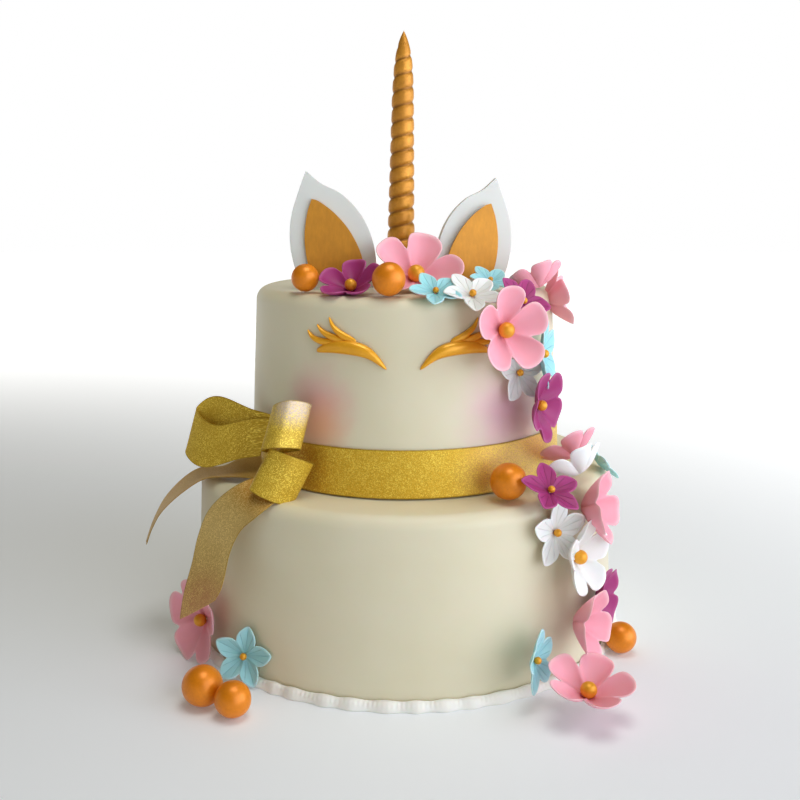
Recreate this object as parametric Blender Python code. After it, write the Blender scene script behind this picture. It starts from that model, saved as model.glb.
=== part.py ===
"""A two-tier birthday cake under fondant, dressed as a unicorn.

The lower tier stands inside a crimped foot border. The upper tier wears a gold ribbon with a bow, two
closed eyes, two ears and a twisted horn. Sugar blossoms and gold balls cover the front of the top, fall
down the right side to the foot, and lie at the left foot.

Sizes are in millimetres, and +Z is up. The front of the cake faces -Y. A bearing is the angle round the
cake's axis, in degrees: 0 is the front, and 90 is the right side (+X).
"""

import math
from dataclasses import dataclass

import bmesh
import bpy
from mathutils import Matrix, Vector
from mathutils.bvhtree import BVHTree

MM = 0.001
GAP = 0.3  # left between pieces that touch
TURN_STEPS = 60  # facets round a tier

# Tiers: each is a little wider at its foot than at its top.
LOWER_FOOT_RADIUS = 126.0
LOWER_TOP_RADIUS = 121.0
LOWER_HEIGHT = 98.5
UPPER_FOOT_RADIUS = 91.0
UPPER_TOP_RADIUS = 86.0
UPPER_HEIGHT = 103.0
EDGE_ROUND = 8.0  # radius of the fondant where it turns from the side to the top
UPPER_FOOT = LOWER_HEIGHT + GAP
TOP = UPPER_FOOT + UPPER_HEIGHT

# Foot border: a strip of fondant pinched into scallops.
BORDER_THICKNESS = 4.4
BORDER_HEIGHT = 6.0
BORDER_SCALLOP = 1.0
BORDER_SCALLOPS = 68

# Ribbon: one inch wide.
RIBBON_WIDTH = 26.0
RIBBON_THICKNESS = 0.7

# Horn: a tapered roll, twisted.
HORN_LENGTH = 140.0
HORN_RADIUS = 8.3
HORN_PITCH = 8.3
HORN_GROOVE = 1.0
HORN_LEAN = 0.8  # degrees, towards the right
HORN_SIDES = 10
HORN_RINGS_PER_TURN = 4

EAR_THICKNESS = 4.0
EAR_LINING_THICKNESS = 1.4

PETALS = 5
PETAL_THICKNESS = 1.0
SETTLE_REACH = 40.0  # how far a piece may be moved to meet what carries it
SETTLE_STEP = 0.5
DOWN = Vector((0, 0, -1))

# Colours as linear red, green, blue.
IVORY = (0.78, 0.72, 0.58)
WHITE = (0.85, 0.85, 0.82)
GOLD_PAINT = (0.68, 0.30, 0.03)
GOLD_BALL = (0.75, 0.25, 0.01)
RIBBON_GOLD = (0.50, 0.34, 0.02)
PINK = (0.83, 0.27, 0.33)
BLUE = (0.28, 0.68, 0.75)
MAGENTA = (0.30, 0.02, 0.14)

placed = []  # a search tree for each finished piece, which later pieces are pushed against


def clear_scene():
    for old in list(bpy.data.objects):
        bpy.data.objects.remove(old, do_unlink=True)


def material(name, colour, roughness, metallic=0.0):
    """A Principled material, made once for each name."""
    found = bpy.data.materials.get(name)
    if found:
        return found
    made = bpy.data.materials.new(name)
    made.use_nodes = True
    shader = made.node_tree.nodes["Principled BSDF"]
    shader.inputs["Base Color"].default_value = (*colour, 1.0)
    shader.inputs["Roughness"].default_value = roughness
    shader.inputs["Metallic"].default_value = metallic
    return made


def add_object(name, mesh, finish, smooth_below=40.0):
    made = bpy.data.objects.new(name, mesh)
    bpy.context.scene.collection.objects.link(made)
    mesh.materials.clear()
    mesh.materials.append(finish)
    mesh.shade_smooth()
    mesh.set_sharp_from_angle(angle=math.radians(smooth_below))
    return made


def mesh_from(name, points, faces):
    """A mesh from points in millimetres, with its faces turned outwards."""
    shape = bmesh.new()
    corners = [shape.verts.new(Vector(p) * MM) for p in points]
    for face in faces:
        shape.faces.new([corners[i] for i in face])
    bmesh.ops.recalc_face_normals(shape, faces=shape.faces)
    mesh = bpy.data.meshes.new(name)
    shape.to_mesh(mesh)
    shape.free()
    return mesh


def lofted(name, sections, ring=False):
    """A closed mesh through sections of equal point counts. A ring joins its last section to its first."""
    count = len(sections[0])
    points = [p for section in sections for p in section]
    faces = []
    steps = len(sections) if ring else len(sections) - 1
    for i in range(steps):
        a, b = i * count, ((i + 1) % len(sections)) * count
        for j in range(count):
            k = (j + 1) % count
            faces.append((a + j, a + k, b + k, b + j))
    if not ring:
        faces.append(tuple(reversed(range(count))))
        faces.append(tuple(range(len(points) - count, len(points))))
    return mesh_from(name, points, faces)


def evaluated_tree(piece):
    """The piece as it stands in the world: its search tree, points and faces."""
    bpy.context.view_layer.update()
    graph = bpy.context.evaluated_depsgraph_get()
    shown = piece.evaluated_get(graph)
    mesh = shown.to_mesh()
    points = [shown.matrix_world @ v.co for v in mesh.vertices]
    faces = [tuple(f.vertices) for f in mesh.polygons]
    shown.to_mesh_clear()
    return BVHTree.FromPolygons(points, faces), points, faces


def keep(piece):
    """Marks a finished piece as something that later pieces can't pass through."""
    placed.append(evaluated_tree(piece)[0])
    return piece


def blocked(points, faces):
    """Whether a shape passes through the floor or through a kept piece."""
    if min(p.z for p in points) < 0:
        return True
    tree = BVHTree.FromPolygons(points, faces)
    return any(tree.overlap(other) for other in placed)


def settle(piece, directions):
    """Moves a piece along each direction in turn until it just clears what carries it.

    A piece that starts clear is pushed on until it meets something, or the floor. A piece that starts in the
    way is drawn back until it is clear. It returns the way that the piece went.
    """
    _, points, faces = evaluated_tree(piece)
    travelled = Vector((0, 0, 0))
    for direction in directions:
        way = direction.normalized() * SETTLE_STEP * MM
        steps = 0
        most = SETTLE_REACH / SETTLE_STEP
        if blocked(points, faces):
            while steps > -most and blocked([p + way * steps for p in points], faces):
                steps -= 1
        else:
            while steps < most and not blocked([p + way * (steps + 1) for p in points], faces):
                steps += 1
        step = way * steps - direction.normalized() * GAP * MM
        points = [p + step for p in points]
        travelled += step
    piece.location += travelled
    return travelled


def round_the_cake(bearing, radius, height):
    a = math.radians(bearing)
    return Vector((radius * math.sin(a), -radius * math.cos(a), height))


def facing(bearing, rise, roll=0.0):
    """A turn that takes local +Z to a bearing and a rise above level, and local +Y upwards."""
    a, e = math.radians(bearing), math.radians(rise)
    out = Vector((math.sin(a) * math.cos(e), -math.cos(a) * math.cos(e), math.sin(e)))
    across = Vector((math.cos(a), math.sin(a), 0))
    up = out.cross(across)
    turn = Matrix((across, up, out)).transposed()
    return (turn @ Matrix.Rotation(math.radians(roll), 3, "Z")).to_4x4()


def upper_wall(height):
    """Radius of the upper tier's side at a height above the floor."""
    share = (height - UPPER_FOOT) / UPPER_HEIGHT
    return UPPER_FOOT_RADIUS + (UPPER_TOP_RADIUS - UPPER_FOOT_RADIUS) * share


# Tiers, border and ribbon band


def turned(name, profile, finish, closed_profile=False):
    """A profile of (radius, height) turned round the cake's axis. It runs down its outer side."""
    mesh = bpy.data.meshes.new(name)
    points = [(r * MM, 0, z * MM) for r, z in profile]
    edges = [(i, i + 1) for i in range(len(points) - 1)]
    if closed_profile:
        edges.append((len(points) - 1, 0))
    mesh.from_pydata(points, edges, [])
    made = add_object(name, mesh, finish)
    screw = made.modifiers.new("Turn", "SCREW")
    screw.steps = TURN_STEPS
    screw.render_steps = TURN_STEPS
    screw.use_merge_vertices = True
    screw.merge_threshold = 0.00001
    screw.use_smooth_shade = True
    return keep(made)


def tier(name, foot_radius, top_radius, foot, height, finish):
    """A solid tier: flat foot, leaning side and a rounded top edge."""
    top = foot + height
    profile = [(0, top)]
    for step in range(4):
        a = math.radians(90 - 30 * step)
        centre = top_radius - EDGE_ROUND
        profile.append((centre + EDGE_ROUND * math.cos(a), top - EDGE_ROUND * (1 - math.sin(a))))
    profile += [(foot_radius, foot), (0, foot)]
    return turned(name, profile, finish)


def foot_border(finish):
    """The crimped strip round the lower tier's foot, resting on the floor."""
    steps = BORDER_SCALLOPS * 2
    inner = LOWER_FOOT_RADIUS + GAP
    sections = []
    for i in range(steps):
        bulge = BORDER_SCALLOP * (i % 2)
        outer = inner + BORDER_THICKNESS - BORDER_SCALLOP + bulge
        top = BORDER_HEIGHT - 0.6 * (1 - i % 2)
        bearing = 360 * i / steps
        section = [(inner, 0), (outer, 0), (outer - 0.9, 0.75 * top), (inner, top)]
        sections.append([round_the_cake(bearing, r, z) for r, z in section])
    return keep(add_object("foot_border", lofted("foot_border", sections, ring=True), finish, 50))


def ribbon_band(finish):
    """The ribbon round the upper tier's foot, laid along its leaning side."""
    low, high = UPPER_FOOT + 0.2, UPPER_FOOT + RIBBON_WIDTH
    skin = GAP + RIBBON_THICKNESS
    profile = [
        (upper_wall(high) + GAP, high),
        (upper_wall(high) + skin, high),
        (upper_wall(low) + skin, low),
        (upper_wall(low) + GAP, low),
    ]
    return turned("ribbon_band", profile, finish, closed_profile=True)


# Horn and ears


def horn_radius(share):
    """The bare roll's radius: a slow taper that rounds in to a point."""
    return (HORN_RADIUS - 2.6 * share) * (1 - share**11) ** 1.05


def horn(finish):
    """A tapered roll with one groove winding up it to the right."""
    turns = HORN_LENGTH / HORN_PITCH
    rings = round(turns * HORN_RINGS_PER_TURN)
    sections = []
    for i in range(rings):
        height = HORN_LENGTH * i / rings
        share = height / HORN_LENGTH
        ring = []
        for j in range(HORN_SIDES):
            around = j / HORN_SIDES
            phase = (height / HORN_PITCH - around) % 1.0
            groove = HORN_GROOVE * (1 - 0.55 * share) * abs(math.cos(math.pi * phase)) ** 6
            radius = max(0.5, horn_radius(share) - groove)
            ring.append(round_the_cake(360 * around, radius, height))
        sections.append(ring)
    points = [p for ring in sections for p in ring]
    tip = len(points)
    points.append(Vector((0, 0, HORN_LENGTH)))
    faces = [tuple(reversed(range(HORN_SIDES)))]
    for i in range(rings - 1):
        for j in range(HORN_SIDES):
            k = (j + 1) % HORN_SIDES
            a, b = i * HORN_SIDES, (i + 1) * HORN_SIDES
            faces.append((a + j, a + k, b + k, b + j))
    last = (rings - 1) * HORN_SIDES
    for j in range(HORN_SIDES):
        faces.append((last + j, last + (j + 1) % HORN_SIDES, tip))
    made = add_object("horn", mesh_from("horn", points, faces), finish, 60)
    made.location = Vector((-2.4, 0, TOP + 0.5)) * MM
    made.rotation_euler = (0, math.radians(HORN_LEAN), 0)
    return keep(made)


# Half outlines of the left ear as (across, height): the outer ones run up to its tip, the inner ones down.
EAR_OUTER_EDGE = [(-19, 0), (-24.5, 12), (-27, 26), (-26, 40), (-22, 53), (-17.5, 65)]
EAR_INNER_EDGE = [(-17.5, 65), (-9, 58), (2, 52.5), (12, 42.5), (18.5, 30), (21.5, 15), (20, 0)]
LINING_OUTER_EDGE = [(-14, 5), (-17.5, 17), (-18.5, 29), (-17, 41), (-14.3, 49.5)]
LINING_INNER_EDGE = [(-14.3, 49.5), (-10, 48), (-2, 42), (6, 33), (12, 22), (14.7, 12), (14, 5)]


def smooth_outline(points, per_span=2):
    """A rounder line through hand-set points, by Catmull-Rom, keeping its two ends."""
    line = [Vector(p) for p in points]
    full = [2 * line[0] - line[1], *line, 2 * line[-1] - line[-2]]
    made = []
    for i in range(1, len(full) - 2):
        p0, p1, p2, p3 = full[i - 1 : i + 3]
        for step in range(per_span):
            t = step / per_span
            made.append(
                0.5 * (2 * p1 + (p2 - p0) * t + (2 * p0 - 5 * p1 + 4 * p2 - p3) * t**2)
                + 0.5 * (3 * p1 - p0 - 3 * p2 + p3) * t**3
            )
    made.append(line[-1])
    return made


def slab(name, outline, thickness, bevel, finish):
    """A flat piece cut from rolled paste: its outline in local X and Y, and its thickness along local Z."""
    shape = bmesh.new()
    face = shape.faces.new([shape.verts.new(Vector((p[0], p[1], 0)) * MM) for p in outline])
    pushed = bmesh.ops.extrude_face_region(shape, geom=[face])
    moved = [g for g in pushed["geom"] if isinstance(g, bmesh.types.BMVert)]
    bmesh.ops.translate(shape, verts=moved, vec=(0, 0, thickness * MM))
    bmesh.ops.recalc_face_normals(shape, faces=shape.faces)
    if bevel:
        rims = [e for e in shape.edges if abs(e.verts[0].co.z - e.verts[1].co.z) < 1e-6]
        bmesh.ops.bevel(shape, geom=rims, offset=bevel * MM, segments=1, affect="EDGES")
    bmesh.ops.triangulate(shape, faces=shape.faces)
    mesh = bpy.data.meshes.new(name)
    shape.to_mesh(mesh)
    shape.free()
    return add_object(name, mesh, finish)


def ear(side, foot, turn_out, lean_back, size, paste, lining):
    """One ear and its gold lining. The right ear is the left one mirrored."""
    flip = -1 if side == "right" else 1
    ear_line = smooth_outline(EAR_OUTER_EDGE)[:-1] + smooth_outline(EAR_INNER_EDGE)
    lining_line = smooth_outline(LINING_OUTER_EDGE)[:-1] + smooth_outline(LINING_INNER_EDGE)
    stand = facing(turn_out, lean_back)
    for name, line, thick, bevel, finish in (
        (f"ear_{side}", ear_line, EAR_THICKNESS, 0.9, paste),
        (f"ear_{side}_lining", lining_line, EAR_LINING_THICKNESS, 0.0, lining),
    ):
        outline = [(flip * p[0] * size, p[1] * size) for p in line]
        made = slab(name, outline, thick, bevel, finish)
        front = EAR_THICKNESS + GAP if "lining" in name else 0.0
        out = stand.to_3x3() @ Vector((0, 0, front))
        made.matrix_world = Matrix.Translation((Vector(foot) + out) * MM) @ stand
        keep(made)


# Closed eyes

# The left eye's lines as (bearing, height).
LID = [(-31.8, 173.6), (-25.5, 176.2), (-19.3, 176.6), (-14.0, 175.2), (-10.2, 172.0), (-5.8, 165.6)]
LASHES = [
    [(-25.8, 179.6), (-29.6, 179.0), (-32.8, 180.6), (-35.4, 184.4)],
    [(-22.2, 180.6), (-26.0, 182.1), (-28.9, 184.0), (-31.4, 187.6)],
    [(-18.6, 181.2), (-22.0, 183.4), (-24.6, 186.6), (-26.6, 191.8)],
]


def paste_strip(name, line, widest, thickness, finish, steps=8):
    """A strip that tapers at both ends, laid on the upper tier's side along (bearing, height) points."""
    path = smooth_outline([(b, z, 0) for b, z in line], per_span=4)
    sections = []
    for i in range(steps):
        share = 0.02 + 0.96 * i / (steps - 1)
        at = share * (len(path) - 1)
        whole = min(int(at), len(path) - 2)
        here = path[whole].lerp(path[whole + 1], at - whole)
        ahead = path[whole + 1] - path[whole]
        arc = math.radians(1) * upper_wall(here.y)
        along = Vector((ahead.x * arc, ahead.y)).normalized()
        half = 0.5 * widest * math.sin(math.pi * share**0.8) ** 0.8 + 0.15
        high = thickness * math.sin(math.pi * share) ** 0.6 + 0.2
        ring = []
        for side, out in ((-1, 0.0), (0, 1.0), (1, 0.0), (0, 0.0)):
            bearing = here.x - side * half * along.y / arc
            height = here.y + side * half * along.x
            ring.append(round_the_cake(bearing, upper_wall(height) + GAP + out * high, height))
        sections.append(ring)
    return keep(add_object(name, lofted(name, sections), finish, 60))


def closed_eye(side, finish):
    """A lid and three lashes. The right eye is the left one mirrored."""
    flip = -1 if side == "right" else 1
    shift = -1.2 if side == "right" else 0.0
    pieces = [(f"eyelid_{side}", LID, 5.2, 2.2, 10)]
    pieces += [(f"lash_{side}_{i + 1}", line, 2.7, 1.5, 7) for i, line in enumerate(LASHES)]
    for name, line, widest, thickness, steps in pieces:
        paste_strip(name, [(flip * b + shift, z) for b, z in line], widest, thickness, finish, steps)


# Bow


@dataclass
class Station:
    """Where a ribbon's centre line is, the way its width runs, and half its width."""

    at: Vector
    across: Vector
    half: float


TAIL_FRONT = [
    Station(Vector((-80, -82, 107)), Vector((0.8, -0.5, -0.2)), 4),
    Station(Vector((-83, -89, 105)), Vector((0.8, -0.55, -0.5)), 8),
    Station(Vector((-87.5, -94, 99.5)), Vector((0.8, -0.6, -0.45)), 12),
    Station(Vector((-94.5, -92.5, 88)), Vector((0.78, -0.62, -0.2)), 13),
    Station(Vector((-99.5, -92, 75)), Vector((0.77, -0.62, -0.1)), 13),
    Station(Vector((-102, -97, 63)), Vector((0.77, -0.6, 0.0)), 13),
    Station(Vector((-104, -104, 54)), Vector((0.8, -0.45, 0.25)), 13),
    Station(Vector((-106, -109, 46)), Vector((0.83, -0.3, 0.56)), 12.5),
]
TAIL_LEFT = [
    Station(Vector((-86, -52, 104)), Vector((0.3, -1.0, 0.0)), 8),
    Station(Vector((-100, -48, 102)), Vector((0.3, -1.0, 0.0)), 12),
    Station(Vector((-114, -44, 99.8)), Vector((0.3, -1.0, 0.0)), 13),
    Station(Vector((-127, -40, 91)), Vector((0.25, -1.0, 0.0)), 13),
    Station(Vector((-138.5, -36, 79)), Vector((0.22, -1.0, 0.05)), 13),
    Station(Vector((-146.5, -32, 65.5)), Vector((0.25, -1.0, 0.18)), 13),
    Station(Vector((-151.5, -30, 53)), Vector((0.27, -1.0, 0.28)), 11),
]


def ribbon_strip(name, stations, finish, crown=0.0):
    """A thin strip through its stations. A crown bows its middle outwards."""
    sections = []
    for i, s in enumerate(stations):
        before, after = stations[max(i - 1, 0)].at, stations[min(i + 1, len(stations) - 1)].at
        across = s.across.normalized()
        out = across.cross(after - before).normalized()
        middle = s.at + out * crown
        face = [s.at - across * s.half, middle, s.at + across * s.half]
        skin = out * RIBBON_THICKNESS
        sections.append([p + skin for p in face] + list(reversed(face)))
    return keep(add_object(name, lofted(name, sections), finish, 50))


def loop_stations(root, tip, side, across, depth, pinch, sharp, steps=12):
    """A ribbon loop from its root out to its tip and back.

    `side` is where the first run lies, `depth` how far the two runs part, `pinch` the share of its width
    left at the root, and `sharp` how creased the tip is: 1 is a sharp fold, and less is rounder.
    """
    out, side = Vector(tip) - Vector(root), Vector(side).normalized()
    made = []
    for i in range(steps + 1):
        share = i / steps
        reach = (1 - abs(2 * share - 1)) ** sharp
        at = Vector(root) + out * reach
        at += side * (1.1 * math.cos(math.pi * share) + 0.5 * depth * math.sin(2 * math.pi * share))
        half = 0.5 * RIBBON_WIDTH * (pinch + (1 - pinch) * reach**0.7)
        made.append(Station(at, Vector(across), half))
    return made


def knot(finish):
    """The pinched middle of the bow: a short roll laid along the band."""
    bearing, length, deep, high = -50.5, 13.0, 3.0, 8.5
    middle = round_the_cake(bearing, upper_wall(112) + GAP + RIBBON_THICKNESS + GAP + deep, 112)
    along, out = round_the_cake(bearing + 90, 1, 0), round_the_cake(bearing, 1, 0)
    sections = []
    for share, waist in ((-0.5, 0.6), (-0.25, 0.95), (0.0, 1.0), (0.25, 0.95), (0.5, 0.6)):
        ring = []
        for step in range(8):
            a = 2 * math.pi * step / 8
            ring.append(
                middle
                + along * length * share
                + out * deep * waist * math.cos(a)
                + Vector((0, 0, high * waist * math.sin(a)))
            )
        sections.append(ring)
    return keep(add_object("bow_knot", lofted("bow_knot", sections), finish, 60))


def bow(finish):
    """A knot on the band at the left, with three loops and two tails."""
    knot(finish)
    left = loop_stations(
        (-82, -53, 116), (-120, -43, 123), (0, -0.83, -0.6), (0.3, 0.1, 0.95), 24, 0.5, 0.75, steps=14
    )
    upper = loop_stations(
        (-67, -74, 127), (-61, -92, 139), (1, 0.3, -0.05), (0.22, 0.45, 0.87), 22, 0.65, 0.5
    )
    lower = loop_stations(
        (-67, -75, 111), (-62, -96, 111), (1, 0.3, 0.05), (0.0, 0.2, 0.98), 23, 0.6, 0.5
    )
    ribbon_strip("bow_loop_left", left, finish)
    ribbon_strip("bow_loop_upper", upper, finish)
    ribbon_strip("bow_loop_lower", lower, finish)
    ribbon_strip("bow_tail_front", TAIL_FRONT, finish, 0.6)
    ribbon_strip("bow_tail_left", TAIL_LEFT, finish, 0.4)


# Balls and blossoms


@dataclass
class Ball:
    """A gold ball, let down onto what is under it."""

    name: str
    radius: float
    bearing: float
    out: float
    start: float


BALLS = [
    Ball("ball_top_left", 7.5, -43.5, 76.5, TOP),
    Ball("ball_top_middle", 8.7, -6.0, 78.5, TOP),
    Ball("ball_ledge", 9.7, 29.8, 106.5, LOWER_HEIGHT),
    Ball("ball_foot_left_big", 10.5, -40.1, 158.2, 0.0),
    Ball("ball_foot_left_small", 9.2, -32.7, 157.1, 0.0),
    Ball("ball_foot_right", 8.9, 62.8, 136.5, 0.0),
]


def gold_ball(ball, finish):
    shape = bmesh.new()
    bmesh.ops.create_uvsphere(shape, u_segments=12, v_segments=8, radius=ball.radius * MM)
    mesh = bpy.data.meshes.new(ball.name)
    shape.to_mesh(mesh)
    shape.free()
    made = add_object(ball.name, mesh, finish, 60)
    made.location = round_the_cake(ball.bearing, ball.out, ball.start + ball.radius) * MM
    settle(made, [DOWN])
    return keep(made)


@dataclass(frozen=True)
class Style:
    """The cut of a blossom, as shares of its radius.

    The edge is half a petal, from where two petals part to its tip: how far across it lies, from 1 to 0,
    and how far out.
    """

    edge: tuple
    cup: float  # how far the petal tips rise
    hollow: float  # how far a petal's middle lies below a straight line from heart to tip
    curl: float  # how far a petal's sides rise above its middle
    pearl: float  # radius of the pearl at its heart


ROUND_EDGE = ((1.0, 0.45), (0.88, 0.74), (0.52, 0.93), (0.0, 1.0))
POINTED_EDGE = ((1.0, 0.45), (0.78, 0.70), (0.38, 0.86), (0.0, 1.0))
ROUND = Style(ROUND_EDGE, 0.55, 0.10, 0.10, 0.2)
SHALLOW = Style(ROUND_EDGE, 0.38, 0.07, 0.08, 0.2)
POINTED = Style(POINTED_EDGE, 0.28, 0.03, 0.10, 0.15)


@dataclass
class Blossom:
    """A sugar blossom.

    It has a cut and a size, a place for its middle, a bearing and a rise that it looks along, a roll about
    that line, and the ways that it is pushed to meet the cake.
    """

    name: str
    style: Style
    colour: str
    radius: float
    bearing: float
    out: float
    height: float
    look: float
    rise: float
    roll: float
    push: str


BLOSSOMS = [
    Blossom("blossom_left_pink", ROUND, "pink", 22, -58.5, 131, 20.2, -56, 4, 0, "in"),
    Blossom("blossom_left_blue", POINTED, "blue", 16, -41, 137, 16.5, -15, 10, -8, "in"),
    Blossom("blossom_top_magenta", ROUND, "magenta", 15.5, -25.5, 65, 206, -22, 62, 0, "down"),
    Blossom("blossom_top_pink", ROUND, "pink", 24.5, 6.5, 42, 211, 14, 46, -15, "down"),
    Blossom("blossom_top_blue_back", POINTED, "blue", 13, 45, 64, 206, 30, 62, 10, "down"),
    Blossom("blossom_top_blue", POINTED, "blue", 14.5, 11, 79, 206, 15, 62, 18, "down"),
    Blossom("blossom_top_white", POINTED, "white", 14.5, 25.8, 82, 202, 22, 52, 18, "down"),
    Blossom("blossom_side_white", POINTED, "white", 15.5, 41.5, 90, 161, 37, 4, 0, "in"),
    Blossom("blossom_shoulder_magenta", POINTED, "magenta", 16.5, 44, 84, 196, 40, 38, 30, "in"),
    Blossom("blossom_side_pink", ROUND, "pink", 22, 32, 94, 187, 31, 7, -9, "in"),
    Blossom("blossom_shoulder_pink", ROUND, "pink", 17, 63, 76, 203, 32, 50, 20, "down"),
    Blossom("blossom_shoulder_pink_back", ROUND, "pink", 18, 74, 84, 194, 90, 20, 0, "in"),
    Blossom("blossom_side_blue", POINTED, "blue", 20, 50, 91, 170, 56, 4, 10, "in"),
    Blossom("blossom_side_blue_low", POINTED, "blue", 14, 61, 91, 144, 70, 0, 0, "in"),
    Blossom("blossom_side_magenta", ROUND, "magenta", 19, 44.5, 97, 144.5, 64, 0, 20, "in"),
    Blossom("blossom_ledge_pink", ROUND, "pink", 18, 58, 103, 113, 62, 40, 0, "in"),
    Blossom("blossom_ledge_white", SHALLOW, "white", 17.5, 48, 112, 112, 50, 50, 20, "in down"),
    Blossom("blossom_ledge_blue", POINTED, "blue", 14, 73, 114, 101, 100, 40, 0, "in"),
    Blossom("blossom_wall_white", POINTED, "white", 16.5, 38.8, 124, 83, 36, 6, -2, "in"),
    Blossom("blossom_edge_pink", ROUND, "pink", 19, 51, 128, 92, 62, 20, 0, "in"),
    Blossom("blossom_edge_magenta", POINTED, "magenta", 15.5, 37.5, 122, 106, 28, 30, 5, "in"),
    Blossom("blossom_wall_white_round", SHALLOW, "white", 18, 44, 130, 68, 54, 6, -5, "in"),
    Blossom("blossom_wall_magenta", ROUND, "magenta", 19, 55.5, 130, 39, 64, 0, 15, "in"),
    Blossom("blossom_wall_pink", ROUND, "pink", 19, 43, 134, 33, 54, 8, 0, "in"),
    Blossom("blossom_foot_blue", POINTED, "blue", 16.5, 30.3, 134, 24, -66, 2, 10, "in"),
    Blossom("blossom_foot_pink", ROUND, "pink", 22, 35, 150, 11, 14, 60, -10, "in down"),
]

stamps = {}  # finished blossom meshes by style and size, so that like blossoms share one shape


def blossom_shape(style, radius):
    """A blossom facing +Z: one cupped sheet of five petals."""
    left_half = [(-across, out) for across, out in style.edge]
    right_half = [(across, out) for across, out in reversed(style.edge[1:-1])]
    whole = left_half + right_half
    span = len(whole)
    points = []
    for layer in (0, 1):
        top = PETAL_THICKNESS * layer
        points.append(Vector((0, 0, top)))
        for k in range(PETALS):
            for across, out in [*whole, (0.0, 0.55)]:
                angle = math.radians(90 + 360 / PETALS * (k + across / 2))
                rise = style.cup * out + style.curl * across * across * out
                if out == 0.55:
                    rise -= style.hollow
                flat = Vector((math.cos(angle), math.sin(angle), 0)) * out
                points.append((flat + Vector((0, 0, rise))) * radius + Vector((0, 0, top)))
    faces, layer_size = [], len(points) // 2
    for k in range(PETALS):
        first = 1 + k * (span + 1)
        spine = first + span
        edge = [first + i for i in range(span)] + [1 + (k + 1) % PETALS * (span + 1)]
        for base in (0, layer_size):
            faces.append((base, base + edge[0], base + spine))
            faces.append((base, base + spine, base + edge[-1]))
            for a, b in zip(edge, edge[1:]):
                faces.append((base + spine, base + a, base + b))
        for a, b in zip(edge, edge[1:]):
            faces.append((a, b, layer_size + b, layer_size + a))
    return mesh_from("blossom", points, faces)


def fuse(base, addition):
    """Joins a second object into the first by a Boolean union, applies it, and removes the second."""
    union = base.modifiers.new("Join", "BOOLEAN")
    union.operation = "UNION"
    union.object = addition
    bpy.context.view_layer.update()
    graph = bpy.context.evaluated_depsgraph_get()
    joined = bpy.data.meshes.new_from_object(base.evaluated_get(graph))
    base.modifiers.remove(union)
    base.data = joined
    bpy.data.objects.remove(addition, do_unlink=True)
    return base


def blossom_stamp(style, radius, finish):
    """The finished mesh of one style and size."""
    key = (style, radius, finish.name)
    if key not in stamps:
        base = add_object("stamp", blossom_shape(style, radius), finish)
        shape = bmesh.new()
        pearl = style.pearl * radius
        bmesh.ops.create_uvsphere(shape, u_segments=8, v_segments=6, radius=pearl * MM)
        bmesh.ops.translate(shape, verts=shape.verts, vec=(0, 0, (pearl + 0.15 * PETAL_THICKNESS) * MM))
        mesh = bpy.data.meshes.new("pearl")
        shape.to_mesh(mesh)
        shape.free()
        fuse(base, add_object("pearl", mesh, finish))
        stamps[key] = base.data
        bpy.data.objects.remove(base, do_unlink=True)
    return stamps[key]


def add_blossom(plan, finish):
    """Sets a blossom at its place, then pushes it on to what carries it.

    Where its petals would cross a neighbour's, it is also turned a little, the way that moves it least.
    """
    mesh = blossom_stamp(plan.style, plan.radius, finish)
    made = add_object(plan.name, mesh, finish, 50)
    seat = round_the_cake(plan.bearing, plan.out, plan.height) * MM
    ways = {"in": round_the_cake(plan.bearing + 180, 1, 0), "down": DOWN}
    directions = [ways[word] for word in plan.push.split()]
    best = None
    for turn in (0, 9, -9, 18, -18, 27, -27, 36):
        made.matrix_world = Matrix.Translation(seat) @ facing(plan.look, plan.rise, plan.roll + turn)
        moved = settle(made, directions).length + abs(turn) * 0.02 * MM
        if best is None or moved < best[0]:
            best = (moved, made.matrix_basis.copy())
        if moved < 2 * MM:
            break
    made.matrix_basis = best[1]
    return keep(made)


def build():
    clear_scene()
    ivory = material("ivory_fondant", IVORY, 0.45)
    white = material("white_paste", WHITE, 0.5)
    gold_paint = material("gold_paint", GOLD_PAINT, 0.4, 0.3)
    gold_ball_finish = material("gold_ball", GOLD_BALL, 0.35, 0.3)
    ribbon = material("gold_ribbon", RIBBON_GOLD, 0.4, 0.5)
    petals = {
        "pink": material("pink_paste", PINK, 0.5),
        "blue": material("blue_paste", BLUE, 0.5),
        "magenta": material("magenta_paste", MAGENTA, 0.5),
        "white": white,
    }

    tier("lower_tier", LOWER_FOOT_RADIUS, LOWER_TOP_RADIUS, 0.0, LOWER_HEIGHT, ivory)
    tier("upper_tier", UPPER_FOOT_RADIUS, UPPER_TOP_RADIUS, UPPER_FOOT, UPPER_HEIGHT, ivory)
    foot_border(white)
    ribbon_band(ribbon)
    horn(gold_paint)
    ear("left", (-36.5, -32, TOP + GAP), 0, 4, 0.97, white, gold_paint)
    ear("right", (36.5, -25, TOP + GAP), 16, 4, 0.92, white, gold_paint)
    closed_eye("left", gold_paint)
    closed_eye("right", gold_paint)
    for plan in BLOSSOMS:
        add_blossom(plan, petals[plan.colour])
    for ball in BALLS:
        gold_ball(ball, gold_ball_finish)
    bow(ribbon)


build()
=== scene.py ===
"""Dresses the two-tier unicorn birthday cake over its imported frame.

The tiers, foot border, ribbon, horn, ears, eyes, blossoms, balls and bow are modelled again in fine detail, each
where its solid is, and finished as fondant, sugar paste, lustre paint and glitter ribbon. Sizes are in
millimetres, and +Z is up. A bearing is the angle round the cake's axis in degrees: 0 is the front, and 90 is the
right side.
"""

from __future__ import annotations

import logging
import math
import random
from collections.abc import Callable
from dataclasses import dataclass
from enum import Enum
from functools import cache, partial

import bpy
from mathutils import Matrix, Vector, noise


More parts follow.
